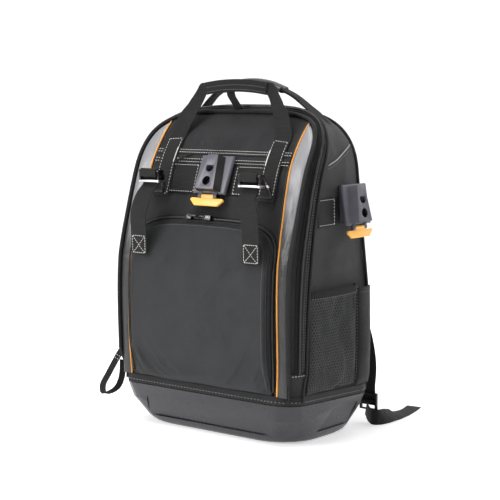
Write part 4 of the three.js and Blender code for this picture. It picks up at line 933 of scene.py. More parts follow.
@dataclass(frozen=True)
class Shell:
    """The bag's body: gusset, sides, top and back, with its seams and the tray's sewn band."""

    wall: float = 3 * MM
    columns: int = 190
    rows: int = 54
    rim_piping: float = 3.2 * MM
    seam_piping: float = 2.4 * MM
    band_height: float = 15 * MM
    band_thick: float = 1.6 * MM

    def surface(self, u: float, w: float) -> Vector:
        """Gives the rumpled skin, still at its seams."""
        v = w * 2
        at = BAG.point(u, v)
        if v > 1.93:
            flat = BAG.point(u, 2.0, -6 * MM * smooth(1.93, 2.0, v))
            return Vector((flat.x, BAG.back_y, flat.z))
        free = math.sin(math.pi * (v % 1.0)) ** 0.7 if v > 1 else 0.25 * math.sin(math.pi * v)
        folds = rumple(at, 0.06, 4.4 * MM, Vector((1, 1, 0.7)), 3.1)
        folds += rumple(at, 0.026, 1.5 * MM, Vector((1, 0.5, 1.3)), 8.0)
        return at + BAG.normal(u, min(v, 1.9)) * ((folds - 1 * MM) * free * smooth(0.08, 0.16, at.z))

    def build(self) -> None:
        """Builds the body's pieces."""
        bm = skin(self.surface, self.columns, self.rows, facing=Vector((0, 0, 1)))
        dress(thicken(to_object(bm, "bag_body"), self.wall), FABRIC, ["main_shell"])
        edge = ring_edge(BACK, 4 * MM, BAG.rim_back + 1 * MM)

        def back(u: float, w: float) -> Vector:
            """Gives a point of the back."""
            x, z, near = arch_patch(edge, 2 * u - 1, 2 * w - 1, (0.0, 0.28))
            dent = rumple(Vector((x, 0, z)), 0.08, 1 * MM) * (1 - near)
            return Vector((x, BAG.back_y - 0.4 * MM + dent, z))

        bm = skin(back, 60, 70, facing=Vector((0, 1, 0)))
        dress(thicken(to_object(bm, "back_panel"), self.wall), FABRIC)
        self.pipings()
        self.zipper()
        self.patches()
        self.band()
        self.yoke()

    def piping(self, name: str, v: float, radius: float, forward: float, nodes: Sequence[str]) -> None:
        """Makes the piping along one seam."""
        def path(t: float) -> Vector:
            """Gives the welt's middle."""
            s = mix(0.012, 0.988, t)
            way = (BAG.normal(s, v) + Vector((0, -forward, 0))).normalized()
            return BAG.point(s, v) + way * (radius * 0.75)

        bm = rod(path, lambda t: radius * (1 + 0.04 * noise.noise(Vector((t * 90, 0, 0)))), 260)
        dress(to_object(bm, name), BINDING, nodes)

    def pipings(self) -> None:
        """Makes the rim, side and back pipings."""
        self.piping("rim_welt", 0.0, self.rim_piping, 1.0, ["front_piping"])
        self.piping("side_welt", 1.0, self.seam_piping, 0.0, ["side_piping"])
        self.piping("back_welt", 1.93, self.seam_piping, -0.4, ["back_piping"])

    def zipper(self) -> None:
        """Makes the main zip: two tapes and the coil between them."""
        low, high = 0.052, 0.948
        coil_pitch = 2.2 * MM
        length = 1.25

        def tape(u: float, w: float) -> Vector:
            """Gives a point of the tapes."""
            v = mix(0.3, 0.7, w)
            ridge = 1.3 * MM * (1 - smooth(0.0, 0.16, abs(w - 0.5)))
            return BAG.point(mix(low, high, u), v, 1.0 * MM) + BAG.normal(mix(low, high, u), v) * ridge

        bm = skin(tape, 220, 24, facing=Vector((0, 0, 1)))
        dress(thicken(to_object(bm, "zip_tapes"), 1.0 * MM), TAPE, ["main_zipper"])
        teeth = int(length / coil_pitch)

        def path(t: float) -> Vector:
            """Gives the coil's middle."""
            s = mix(low, high, t)
            return BAG.point(s, 0.5, 2.2 * MM)

        bm = rod(path, lambda t: 1.9 * MM * (1 + 0.16 * math.cos(math.tau * t * teeth)), teeth * 4, 8)
        dress(to_object(bm, "zip_coil"), COIL)
        sewn = Stitches(0.4 * MM, 2.8 * MM, 4.4 * MM)
        for v in (0.76, 0.88):
            sewn.run(lambda t, v=v: BAG.point(mix(0.055, 0.945, t), v, 0.3 * MM), 240)
        sewn.done("gusset_stitches", FAINT_THREAD)
        ends = Stitches()
        for s in (0.05, 0.95):
            ends.run(lambda t, s=s: BAG.point(s, mix(0.12, 0.86, t), 1.8 * MM), 12)
        ends.done("gusset_end_stitches")

    def patches(self) -> None:
        """Makes the patches at the gusset's feet."""
        for name, side in SIDES:
            ends = (0.012, 0.0535) if side > 0 else (0.9465, 0.988)
            bm = skin(
                lambda u, w, ends=ends: BAG.point(mix(*ends, u), mix(0.06, 0.9, w), 1.3 * MM), 24, 24,
                facing=Vector((side, 0, 0)),
            )
            dress(thicken(to_object(bm, f"gusset_patch_{name}"), 1.0 * MM), FABRIC, [f"corner_patch_{name}"])

    def band(self) -> None:
        """Makes the sewn band that joins the bag to the tray, and its stitches."""
        def around(u: float, grow: float, lift: float) -> Vector:
            """Gives a point round the tray's rim, moved out and up."""
            quarter, f = divmod(u * 4 % 4, 1.0)
            turns = ((1, 1, 0), (-1, 1, 90), (-1, -1, 180), (1, -1, 270))
            radius = BAG.corner + grow
            spots = []
            for k in (int(quarter), (int(quarter) + 1) % 4):
                sx, sy, start = turns[k]
                spots.append((sx * (BAG.tray_half - BAG.corner), sy * (BAG.half_depth - BAG.corner), start))
            (cx, cy, start), (nx, ny, begin) = spots
            if f < 0.6:
                turn = math.radians(start + 90 * f / 0.6)
                x, y = cx + radius * math.cos(turn), cy + radius * math.sin(turn)
            else:
                turn = math.radians(begin)
                t = (f - 0.6) / 0.4
                x = mix(cx, nx, t) + radius * math.cos(turn)
                y = mix(cy, ny, t) + radius * math.sin(turn)
            return Vector((x, y, BAG.rim_z(y) + lift))

        half = self.band_height / 2

        def place(u: float, w: float) -> Vector:
            """Gives a point of the band's round section."""
            turn = w * math.tau
            c, s = math.cos(turn), math.sin(turn)
            y = math.copysign(abs(s) ** 0.4, s)
            x = math.copysign(abs(c) ** 0.6, c) * self.band_thick * (0.75 + 0.25 * math.cos(y * 3))
            return around(u, -self.band_thick / 2 + x * 0.6, half + 0.3 * MM + y * (half - 0.3 * MM))

        bm = skin(place, 240, 20, wrap=True, wrap_rows=True)
        dress(to_object(bm, "sewn_band"), BINDING, ["base_band"])
        sewn = Stitches(0.6 * MM, 3.6 * MM, 6.4 * MM)
        sewn.run(lambda t: around(t, 0.2 * MM, 6 * MM), 400)
        sewn.done("band_stitches", FAINT_THREAD)

    def yoke(self) -> None:
        """Makes the grey piping and the seams of the yoke on each upper side."""
        rows = ((-22, 426), (-12, 428), (10, 433), (36, 441), (66, 448), (88, 452))
        for name, side in SIDES:
            points = [BAG.side(y * MM, z * MM, side, 1.1 * MM) for y, z in rows]
            bm = rod(lambda t, p=points: spline(p, t), 1.0 * MM, 60, 8)
            dress(to_object(bm, f"yoke_piping_{name}"), GREY)
            under = [BAG.side(y * MM, (z - 6) * MM, side, 0.4 * MM) for y, z in rows]
            Stitches().run(lambda t, p=under: spline(p, t)).done(f"yoke_stitches_{name}", FAINT_THREAD)


@dataclass(frozen=True)
class FrontPanel:
    """The zip-round front panel with its side strips, orange piping and slot zip."""

    wall: float = 3 * MM
    opening: float = 3.3 * MM
    piping: float = 1.5 * MM
    low: float = 80.5 * MM
    slot_low: float = 427 * MM
    slot_high: float = 444 * MM
    patch_half: float = 104 * MM
    patch_low: float = 376 * MM
    patch_high: float = 424 * MM
    line: Sequence[tuple[float, float]] = (
        (0.163, 0.834), (0.270, 0.848), (0.535, 0.837), (0.650, 0.815), (0.820, 0.786), (0.938, 0.783),
    )

    def line_x(self, z: float) -> float:
        """Gives the orange piping's distance from the middle."""
        return curve_at(self.line, z / BAG.top) * BAG.half_width

    def crown(self, x: float, z: float, near: float) -> float:
        """Gives the panel's own unevenness."""
        at = Vector((x, 0, z))
        calm = 1 - smooth(0.8, 1.0, near)
        dents = rumple(at, 0.05, 2.4 * MM, Vector((1.2, 1, 0.6)), 5.0)
        dents += rumple(at, 0.022, 0.7 * MM, Vector((1, 1, 1)), 2.0)
        return dents * calm * smooth(0.33, 0.36, z)

    def build(self) -> None:
        """Builds the panel's pieces."""
        edge = ring_edge(RIM, self.opening - 1 * MM, self.low)

        def place(u: float, w: float) -> Vector:
            """Gives a point of the panel."""
            x, z, near = arch_patch(edge, 2 * u - 1, 2 * w - 1, (0.0, 0.3))
            return BAG.front(x, z, self.crown(x, z, near) - 0.2 * MM)

        bm = skin(place, 110, 130, facing=Vector((0, -1, 0)))
        dress(thicken(to_object(bm, "front_skin"), self.wall), FABRIC, ["front_panel"])
        for name, side in SIDES:
            self.strip(name, side)
        self.slot()

    def strip(self, name: str, side: int) -> None:
        """Makes one grey strip and its orange piping."""
        low, high = self.low, 0.948 * BAG.top

        def rim_x(z: float) -> float:
            """Gives the panel's outer edge at a height."""
            if z <= BAG.shoulder:
                return BAG.ring_width(RIM, z) - self.opening
            top = BAG.top * RIM.top - self.opening
            rise = min((z - BAG.shoulder) / (top - BAG.shoulder), 1.0)
            turn = math.asin(rise ** (RIM.power / 2))
            return (BAG.ring_width(RIM, z) - self.opening) * math.cos(turn) ** (2 / RIM.power)

        def place(u: float, w: float) -> Vector:
            """Gives a point of the strip."""
            z = mix(low, high, w)
            inner = self.line_x(z)
            x = mix(inner, max(rim_x(z), inner + 0.5 * MM), u)
            bow = math.sin(math.pi * u) * 1.6 * MM
            crease = rumple(Vector((x * 2, side, z)), 0.03, 1.1 * MM, Vector((1, 1, 0.8)), 4.0)
            return BAG.front(side * x, z, 0.9 * MM + bow + crease * math.sin(math.pi * u))

        bm = skin(place, 18, 150, facing=Vector((0, -1, 0)))
        dress(thicken(to_object(bm, f"side_strip_{name}"), 1.2 * MM), GREY, [f"grey_strip_{name}"])

        def path(t: float) -> Vector:
            """Gives the piping's middle."""
            z = mix(low, high - 4 * MM, t)
            return BAG.front(side * self.line_x(z), z, self.piping * 0.9)

        bm = rod(path, self.piping, 150)
        dress(to_object(bm, f"orange_line_{name}"), ORANGE, [f"orange_piping_{name}"])
        sewn = Stitches(*FINE)

        def seam(t: float) -> Vector:
            """Gives a point beside the piping."""
            z = mix(low, high, t)
            return BAG.front(side * (self.line_x(z) - 5 * MM), z, 0.7 * MM)

        sewn.run(seam, 120)
        sewn.done(f"line_stitches_{name}", FAINT_THREAD)

    def slot(self) -> None:
        """Makes the slot zip across the panel, the webbing behind the hub, and their stitches."""
        half = self.line_x(436 * MM) - 3 * MM

        def fold(u: float, w: float) -> Vector:
            """Gives a point of the flap, folded at its slit."""
            z = mix(self.slot_low, self.slot_high, w)
            lip = 1.8 * MM * math.sin(math.pi * w) ** 0.5 - 1.6 * MM * (1 - smooth(0.0, 0.1, abs(w - 0.56)))
            return BAG.front(mix(-half, half, u), z, 0.6 * MM + lip)

        bm = skin(fold, 120, 28, facing=Vector((0, -1, 0)))
        dress(thicken(to_object(bm, "slot_flap"), 1.0 * MM), FABRIC, ["upper_zipper"])

        def patch(u: float, w: float) -> Vector:
            """Gives a point of the webbing, thin at its edge."""
            x = mix(-self.patch_half, self.patch_half, u)
            edge = min(1.0, 12 * min(u, 1 - u, w, 1 - w))
            return BAG.front(x, mix(self.patch_low, self.patch_high, w), 0.4 * MM + 1.2 * MM * edge)

        bm = skin(patch, 90, 26, facing=Vector((0, -1, 0)))
        dress(thicken(to_object(bm, "hub_webbing"), 1.0 * MM), WEB, ["hub_patch"])
        sewn = Stitches()
        for z in (444.5, 440.5, 430.5, 426):
            sewn.line(BAG.front(-half + 2 * MM, z * MM, 2.5 * MM), BAG.front(half - 2 * MM, z * MM, 2.5 * MM))
        sewn.done("slot_stitches")
        marks = Stitches()
        low, high = self.patch_low + 4 * MM, self.patch_high - 3 * MM
        for x0, x1 in ((40 * MM, 92 * MM), (-92 * MM, -40 * MM)):
            marks.box(lambda x, z: BAG.front(x, z, 2.3 * MM), (x0, low), (x1, high))
        marks.done("patch_stitches")
        cord = [(-60, 438, 3.8), (-65, 436, 3.9), (-74, 432, 5.6), (-87, 425.5, 4.6)]
        points = [BAG.front(x * MM, z * MM, lift * MM) for x, z, lift in cord]
        bm = rod(lambda t: spline(points, t), 1.6 * MM, 30, 8)
        dress(to_object(bm, "slot_pull"), BINDING, ["upper_pull"])


@dataclass(frozen=True)
class FrontPocket:
    """The padded pocket on the front, with its zip and two sliders."""

    half: float = 140 * MM
    low: float = 80.5 * MM
    top: float = 337 * MM
    shoulder: float = 275 * MM
    depth: float = 19 * MM
    power: float = 3.6

    def edge(self, t: float, inset: float = 0.0) -> tuple[float, float]:
        """Gives the pocket's outline."""
        half, top, low = self.half - inset, self.top - inset, self.low + inset
        shoulder = self.shoulder - max(inset, 0.0)
        if t >= 0.75:
            return mix(-half, half, (t - 0.75) * 4), low
        side = 1 if t <= 0.375 else -1
        u = t / 0.375 if side > 0 else (0.75 - t) / 0.375
        straight = 0.5
        if u < straight:
            return side * half, mix(low, shoulder, u / straight)
        turn = (u - straight) / (1 - straight) * math.pi / 2
        x = half * max(math.cos(turn), 0.0) ** (2 / self.power)
        return side * x, shoulder + (top - shoulder) * math.sin(turn) ** (2 / self.power)

    def stand(self, z: float) -> float:
        """Gives how far the face stands off the panel at a height."""
        low = smooth(self.low - 30 * MM, self.low + 70 * MM, z)
        return self.depth * low * (1 - 0.35 * smooth(self.shoulder, self.top, z))

    def face(self, x: float, z: float, inset: float) -> Vector:
        """Gives the face's surface at an inset from the outline."""
        rise = curve_at(((0, 0.5), (1.5, 0.8), (6, 0.95), (22, 1.0), (70, 1.05), (150, 1.06)), inset / MM)
        return Vector((x, BAG.front_y(z) - self.stand(z) * rise, z))

    def build(self) -> None:
        """Builds the pocket's pieces."""
        centre = (0.0, 0.205)

        def place(u: float, w: float) -> Vector:
            """Gives a point of the face or its side wall."""
            a, b = 2 * u - 1, 2 * w - 1
            m = max(abs(a), abs(b))
            wall = 0.94
            scale = min(m / wall, 1.0) / max(m, 1e-9)
            x, z, near = arch_patch(self.edge, a * scale, b * scale, centre)
            if m > wall:
                drop = (m - wall) / (1 - wall)
                return Vector((x, BAG.front_y(z) - self.stand(z) * mix(0.5, -0.05, drop), z))
            at = self.face(x, z, (1 - near) * 120 * MM)
            dent = rumple(Vector((x, 0, z)), 0.07, 2.4 * MM, Vector((0.7, 1, 1.1)), 1.5)
            dent += rumple(Vector((x, 0, z)), 0.025, 0.5 * MM, Vector((1, 1, 1)), 7.5)
            return at + Vector((0, dent * (1 - near**4), 0))

        made = to_object(skin(place, 120, 120, facing=Vector((0, -1, 0))), "pocket_bag")
        sewn_in = 5 * MM

        def pinned(at: Vector) -> bool:
            """Tells whether a point is sewn down."""
            return at.y > BAG.front_y(at.z) - self.stand(at.z) * 0.6 or at.z < self.low + sewn_in

        settle(made, pinned, 0.25, 0.012, 4 * MM)
        dress(thicken(made, 2 * MM), POCKET, ["front_pocket"])
        self.zip()
        for name in ("left", "right"):
            node = f"pocket_slider_{name}"
            dress(to_object(copy_of(node, 0.3 * MM), f"zip_pull_{name}", 40), METAL, [node])

    def zip(self) -> None:
        """Makes the zip tape and coil round the pocket."""
        def around(t: float, inset: float, out: float) -> Vector:
            """Gives a point beside the pocket's outline."""
            x, z = self.edge(0.75 * t, inset)
            return BAG.front(x, max(z, 88 * MM), out)

        def tape(u: float, w: float) -> Vector:
            """Gives a point of the tape."""
            return around(u, mix(-7 * MM, 0.5 * MM, w), mix(0.8, 3.6, smooth(0.1, 0.8, w)) * MM)

        bm = skin(tape, 200, 10, facing=Vector((0, -1, 0)))
        dress(thicken(to_object(bm, "pocket_tape"), 0.9 * MM), TAPE, ["pocket_zipper"])
        teeth = 330
        bm = rod(
            lambda t: around(t, -3.2 * MM, 3.2 * MM),
            lambda t: 1.7 * MM * (1 + 0.16 * math.cos(math.tau * t * teeth)), teeth * 4, 8,
        )
        dress(to_object(bm, "pocket_coil"), COIL)
        rim = rod(lambda t: self.on_rim(t), 1.3 * MM, 220, 8)
        dress(to_object(rim, "pocket_welt"), BINDING)
        sewn = Stitches(*FINE)
        sewn.run(lambda t: self.on_rim(t, 7 * MM, 0.5 * MM), 240)
        sewn.done("pocket_stitches", FAINT_THREAD)

    def on_rim(self, t: float, inset: float = 1 * MM, lift: float = 0.0) -> Vector:
        """Gives a point just inside the pocket's outer edge."""
        x, z = self.edge(0.75 * t, inset)
        at = self.face(x, max(z, 88 * MM), inset)
        return at - Vector((0, lift, 0))


@dataclass(frozen=True)
class Hubs:
    """The two clip-on hubs and their release tabs."""

    def build(self) -> None:
        """Builds the hubs and tabs from the frame's own shapes, with eased edges."""
        ways = (
            ("front", Body.FRONT_TAB, Vector((0, -math.cos(math.radians(24)), math.sin(math.radians(24))))),
            ("side", Body.SIDE_TAB, Vector((math.cos(math.radians(10)), 0, math.sin(math.radians(10))))),
        )
        for name, body, out in ways:
            bm = copy_of(f"{name}_hub", 0.6 * MM)
            self.shade(bm, out)
            dress(to_object(bm, f"{name}_clip_plate", 40), HUB, [f"{name}_hub"])
            bm = copy_of(f"{name}_release_tab", 0.9 * MM)
            dress(to_object(bm, f"{name}_tab", 40), TAB, [f"{name}_release_tab"], body)

    def shade(self, bm: bmesh.types.BMesh, out: Vector) -> None:
        """Paints shade on the walls and floors of a hub's holes and on one flank of its wedge.

        Args:
            bm: The hub.
            out: The way its face points.
        """
        bm.normal_update()
        layer = bm.loops.layers.float_color.new(PAINTED_SHADE)
        right = Vector((0, 0, 1)).cross(out).normalized()
        up = out.cross(right)
        middle = sum((v.co for v in bm.verts), Vector()) / len(bm.verts)
        hole_half, hole_reach, hole_depth = 8.2 * MM, 23 * MM, 6 * MM
        flank_near, flank_far, flank_reach = 4 * MM, 25 * MM, 26 * MM
        bottom_half, bottom_depth = 6 * MM, 2 * MM
        for face in bm.faces:
            at = face.calc_center_median() - middle
            aside, height, depth = at.dot(right), at.dot(up), -at.dot(out)
            facing, turned = face.normal.dot(out), face.normal.dot(right)
            inside = abs(aside) < hole_half and abs(height) < hole_reach and depth < hole_depth
            hole = inside and abs(facing) < 0.3
            flank = turned > 0.3 and flank_near < aside < flank_far and abs(height) < flank_reach
            bottom = abs(aside) < bottom_half and facing > 0.9 and depth > bottom_depth
            # Painted shade: 1 on the hole walls, hole floors and the flank, 0 elsewhere.
            dark = 1.0 if hole or flank or bottom else 0.0
            for loop in face.loops:
                loop[layer] = (dark, dark, dark, 1.0)


@dataclass(frozen=True)
class Base:
    """The moulded tray."""

    def build(self) -> None:
        """Builds the tray from the frame's own shape, with eased edges."""
        dress(to_object(copy_of("base_tray", 0.5 * MM, angle=17.0), "tray_shell", 22), TRAY, ["base_tray"])


@dataclass(frozen=True)
class SidePockets:
    """The net pocket, its hem and the slot pocket, on each side."""

    front: float = -72 * MM
    back: float = 54 * MM
    top: float = 238 * MM
    depth: float = 15 * MM
    slot_front: float = 57 * MM
    slot_back: float = 93 * MM
    slot_top: float = 232 * MM
    slot_depth: float = 10 * MM
    lift: float = 16 * MM
    hem: float = 11 * MM
    cell: float = 6.0 * MM
    strand: float = 0.5 * MM

    def wall(
        self, y0: float, y1: float, top: float, depth: float, side: int, t: float, h: float, out: float = 0.0,
    ) -> Vector:
        """Gives a pocket's outer surface at share t across and h up."""
        low = BAG.rim_z(y0) + self.lift
        z = mix(low, top, h)
        size = depth * curve_at(((0, 0.1), (0.08, 0.7), (0.45, 1.0), (0.8, 0.85), (1, 0.75)), h)
        bow = math.sin(math.pi * min(max(t, 0.0), 1.0)) ** 0.45
        x = BAG.half_width - 1 * MM + size * bow + out
        return Vector((side * x, mix(y0, y1, t), z))

    def build(self) -> None:
        """Builds both sides' pockets."""
        for name, side in SIDES:
            self.net(name, side)
            self.cuff(name, side)
            self.slot(name, side)

    def bulge(self, side: int, t: float, h: float, out: float) -> Vector:
        """Gives the net pocket's surface at share t across and h up, moved out."""
        return self.wall(self.front, self.back, self.top, self.depth, side, t, h, out)

    def folds(self, t: float, h: float, side: int) -> float:
        """Gives how far the slack net hangs out or in at shares t across and h up."""
        at = Vector((t * 0.126, h * 0.155, side))
        drape = rumple(at, 0.028, 7.0 * MM, Vector((1.1, 0.5, 1)), 6.0)
        gather_up = 1.3 * MM * math.sin(t * 34) * h**3
        return ((drape - 2.5 * MM) * smooth(0, 0.25, 1 - h) + gather_up) * math.sin(math.pi * t) ** 0.5

    def net(self, name: str, side: int) -> None:
        """Makes the honeycomb net."""
        width, height = self.back - self.front, self.top - BAG.rim_z(self.front) - self.lift
        bm = bmesh.new()
        across = self.cell * math.sqrt(3) / 2
        radius = self.cell / 2
        turn = Matrix.Rotation(math.pi / 6, 4, "Z")
        for j in range(int(height / (radius * 1.5)) + 1):
            row = bmesh.new()
            for i in range(int(width / across) + 1):
                at = Vector(((i + 0.5 * (j % 2)) * across, j * radius * 1.5, 0))
                spot = Matrix.Translation(at) @ turn
                bmesh.ops.create_circle(row, cap_ends=True, segments=6, radius=radius, matrix=spot)
            gather(bm, row)
        bmesh.ops.remove_doubles(bm, verts=bm.verts, dist=0.3 * MM)
        cells = list(bm.faces)
        bmesh.ops.inset_individual(bm, faces=cells, thickness=self.strand)
        bmesh.ops.delete(bm, geom=cells, context="FACES_ONLY")
        for vert in bm.verts:
            t, h = min(max(vert.co.x / width, 0.0), 1.0), min(max(vert.co.y / height, 0.0), 1.0)
            vert.co = self.bulge(side, t, h, self.folds(t, h, side))
        bmesh.ops.remove_doubles(bm, verts=bm.verts, dist=0.02 * MM)
        bm.normal_update()
        if sum((f.normal.x * f.calc_area() for f in bm.faces)) * side < 0:
            bmesh.ops.reverse_faces(bm, faces=bm.faces)
        dress(thicken(to_object(bm, f"side_net_{name}"), 0.7 * MM), NET, [f"mesh_pocket_{name}"])

    def cuff(self, name: str, side: int) -> None:
        """Makes the net's gathered hem and its side bindings."""
        low = 1 - self.hem / (self.top - 82 * MM)

        def place(u: float, w: float) -> Vector:
            """Gives a point of the gathered hem."""
            turn = w * math.tau
            h = mix(low, 1.0, 0.5 + 0.5 * math.sin(turn))
            pucker = 0.5 * MM * math.sin(u * 190)
            return self.bulge(side, u, h, 0.6 * MM + 1.0 * MM * math.cos(turn) + pucker)

        bm = skin(place, 200, 14, wrap=True)
        dress(to_object(bm, f"net_hem_{name}"), BINDING, [f"mesh_hem_{name}"])
        for edge, y in (("front", self.front), ("back", self.back)):
            points = [BAG.side(y, mix(84 * MM, self.top, k / 6), side, 1.2 * MM) for k in range(7)]
            bm = rod(lambda t, p=points: spline(p, t), 1.8 * MM, 60, 8)
            dress(to_object(bm, f"net_{edge}_binding_{name}"), BINDING)
        sewn = Stitches()
        sewn.run(lambda t: self.bulge(side, mix(0.02, 0.98, t), low, 2 * MM), 40)
        sewn.run(lambda t: self.bulge(side, 0.985, mix(0.03, 1, t), 2 * MM), 40)
        sewn.done(f"net_stitches_{name}", FAINT_THREAD)

    def slot(self, name: str, side: int) -> None:
        """Makes the narrow pocket behind the net."""
        def place(u: float, w: float) -> Vector:
            """Gives a point of the pocket."""
            at = self.wall(self.slot_front, self.slot_back, self.slot_top, self.slot_depth, side, u, w)
            return at + Vector((side * rumple(at, 0.03, 1.0 * MM, seed=2.0) * math.sin(math.pi * u), 0, 0))

        made = to_object(skin(place, 24, 60, facing=Vector((side, 0, 0))), f"slot_bag_{name}")
        dress(thicken(made, 2 * MM), FABRIC, [f"slot_pocket_{name}"])
        sewn = Stitches(0.26 * MM, 2.2 * MM, 3.6 * MM)
        sewn.run(lambda t: self.wall(self.slot_front, self.slot_back, self.slot_top, self.slot_depth, side,
                                     mix(0.08, 0.92, t), 0.95, 0.3 * MM), 30)
        sewn.done(f"slot_hem_stitches_{name}", FAINT_THREAD)


@dataclass(frozen=True)
class Handles:
    """The front handle, the rear sleeve handle and the keeper between them."""

    web: float = 33 * MM
    leg_x: float = 106 * MM
    sewn_top: float = 467 * MM
    stand: float = 2.8 * MM
    grip_half: float = 62 * MM
    grip_y: float = -22 * MM
    grip_z: float = 541 * MM
    grip_height: float = 20 * MM

    def leg(self, side: int) -> Band:
        """Gives one front leg's band."""
        rows = []
        for z in (371, 384, 398, 413, 428, 442, 456, 467):
            rows.append(Row(BAG.front(side * self.leg_x, z * MM, self.stand), Vector((1, 0, 0)), self.web))
        foot = rows[-1].at
        for x, rise, y, lean, wide in (
            (0.92, 0.33, 0.45, 0.35, 0.92), (0.80, 0.62, 0.8, 0.6, 0.72),
            (0.70, 0.86, 1.0, 1.0, 0.62), (0.65, 0.98, 1.0, 2.0, 0.6),
        ):
            z = mix(self.sewn_top, self.grip_z, rise)
            at = Vector((side * self.leg_x * x, mix(foot.y, self.grip_y, y), z))
            rows.append(Row(at, Vector((1, 0, side * lean)), self.web * wide))
        for off in (4.5 * MM, 1.0 * MM):
            at = Vector((side * (self.grip_half + off), self.grip_y, self.grip_z))
            rows.append(Row(at, Vector((0, 0, side)), self.grip_height * 0.92))
        return Band(rows)

    def build(self) -> None:
        """Builds the handles."""
        sewn = Stitches()
        bars = Stitches(1.0 * MM, 4.0 * MM, 2.4 * MM)
        for name, side in SIDES:
            leg = self.leg(side)
            dress(to_object(leg.mesh(170), f"front_leg_{name}"), WEB, [f"handle_leg_{name}"])
            face = -1 if leg.point(0, 0.2, 0.0, 1).y > leg.point(0, 0.2, 0.0, -1).y else 1
            low, high = 0.03, 0.495
            for s in (-0.78, 0.78):
                sewn.run(lambda t, s=s: leg.point(s, mix(low, high, t), 0.15 * MM, face), 60)
            for t in (low, high):
                sewn.run(lambda u, t=t: leg.point(mix(-0.78, 0.78, u), t, 0.15 * MM, face), 8)
            bars.run(lambda t, f=face, b=leg: b.point(0.78 * side * f, mix(0.29, 0.41, t), 0.3 * MM, f), 12)
        sewn.done("leg_stitches")
        bars.done("bar_tacks")
        self.grip()
        self.keeper()
        self.rear()

    def grip(self) -> None:
        """Makes the folded grip of the front handle."""
        rows = []
        for t in (-1, -0.6, -0.2, 0.2, 0.6, 1):
            at = Vector((t * self.grip_half, self.grip_y, self.grip_z + 5 * MM * (1 - t * t)))
            rows.append(Row(at, Vector((0, 0, 1)), self.grip_height, 5 * MM))
        band = Band(rows)
        dress(to_object(band.mesh(90, power=4.0), "front_grip_fold"), WEB, ["front_grip"])
        face = 1 if band.point(0, 0.5, 0, 1).y < self.grip_y else -1
        sewn = Stitches(0.3 * MM, 2.4 * MM, 3.6 * MM)
        for s in (-0.62, 0.1):
            sewn.run(lambda t, s=s: band.point(s, mix(0.03, 0.97, t), 0.1 * MM, face), 60)
        sewn.done("grip_stitches", FAINT_THREAD)

    def keeper(self) -> None:
        """Makes the keeper that ties the front handle to the bag."""
        back = self.grip_y + 3.6 * MM
        spots = ((0, 12), (0, -8), (9, -20), (24, -35.5))
        points = [Vector((-14 * MM, back + y * MM, self.grip_z + z * MM)) for y, z in spots]
        rows = [Row(point, Vector((1, 0, 0)), 16 * MM) for point in points]
        dress(to_object(Band(rows).mesh(50), "handle_keeper"), WEB, ["grip_keeper"])

    def rear(self) -> None:
        """Makes the rear handle's rubber sleeve and its webbing."""
        half, y, z, rise = 62 * MM, 20 * MM, 539 * MM, 13 * MM
        rows = [
            Row(Vector((t * half, y, z + rise * (1 - t * t))), Vector((0, 1, 0)), 24 * MM, 11 * MM)
            for t in (-1, -0.6, -0.2, 0.2, 0.6, 1)
        ]
        band = Band(rows)
        bm = band.mesh(110, power=2.6)
        for vert in bm.verts:
            groove = 0.5 * MM * max(0.0, math.cos(vert.co.x * math.tau / (6 * MM)))
            groove = groove * (1 - smooth(0.8, 0.95, abs(vert.co.x) / half))
            middle = Vector((vert.co.x, y, z + rise * (1 - (vert.co.x / half) ** 2)))
            vert.co = vert.co + (middle - vert.co).normalized() * groove
        dress(to_object(bm, "rear_grip"), SLEEVE, ["rear_sleeve"])
        foot = Vector((134 * MM, 38 * MM, 481 * MM))
        for name, side in SIDES:
            rows = []
            for x, back, drop, wide, thick in (
                (-0.04, 0, -0.02, 0.55, 4.5), (0.26, 0.2, 0.16, 0.55, 4.0), (0.54, 0.45, 0.42, 0.65, 3.0),
                (0.78, 0.7, 0.68, 0.85, 2.0), (0.98, 0.96, 0.98, 1, 1.6),
            ):
                at = Vector((side * mix(half, foot.x, x), mix(y, foot.y, back), mix(z, foot.z, drop)))
                rows.append(Row(at, Vector((0, 1, 0)), self.web * wide, thick * MM))
            dress(to_object(Band(rows).mesh(70), f"rear_leg_{name}"), WEB, [f"rear_web_{name}"])


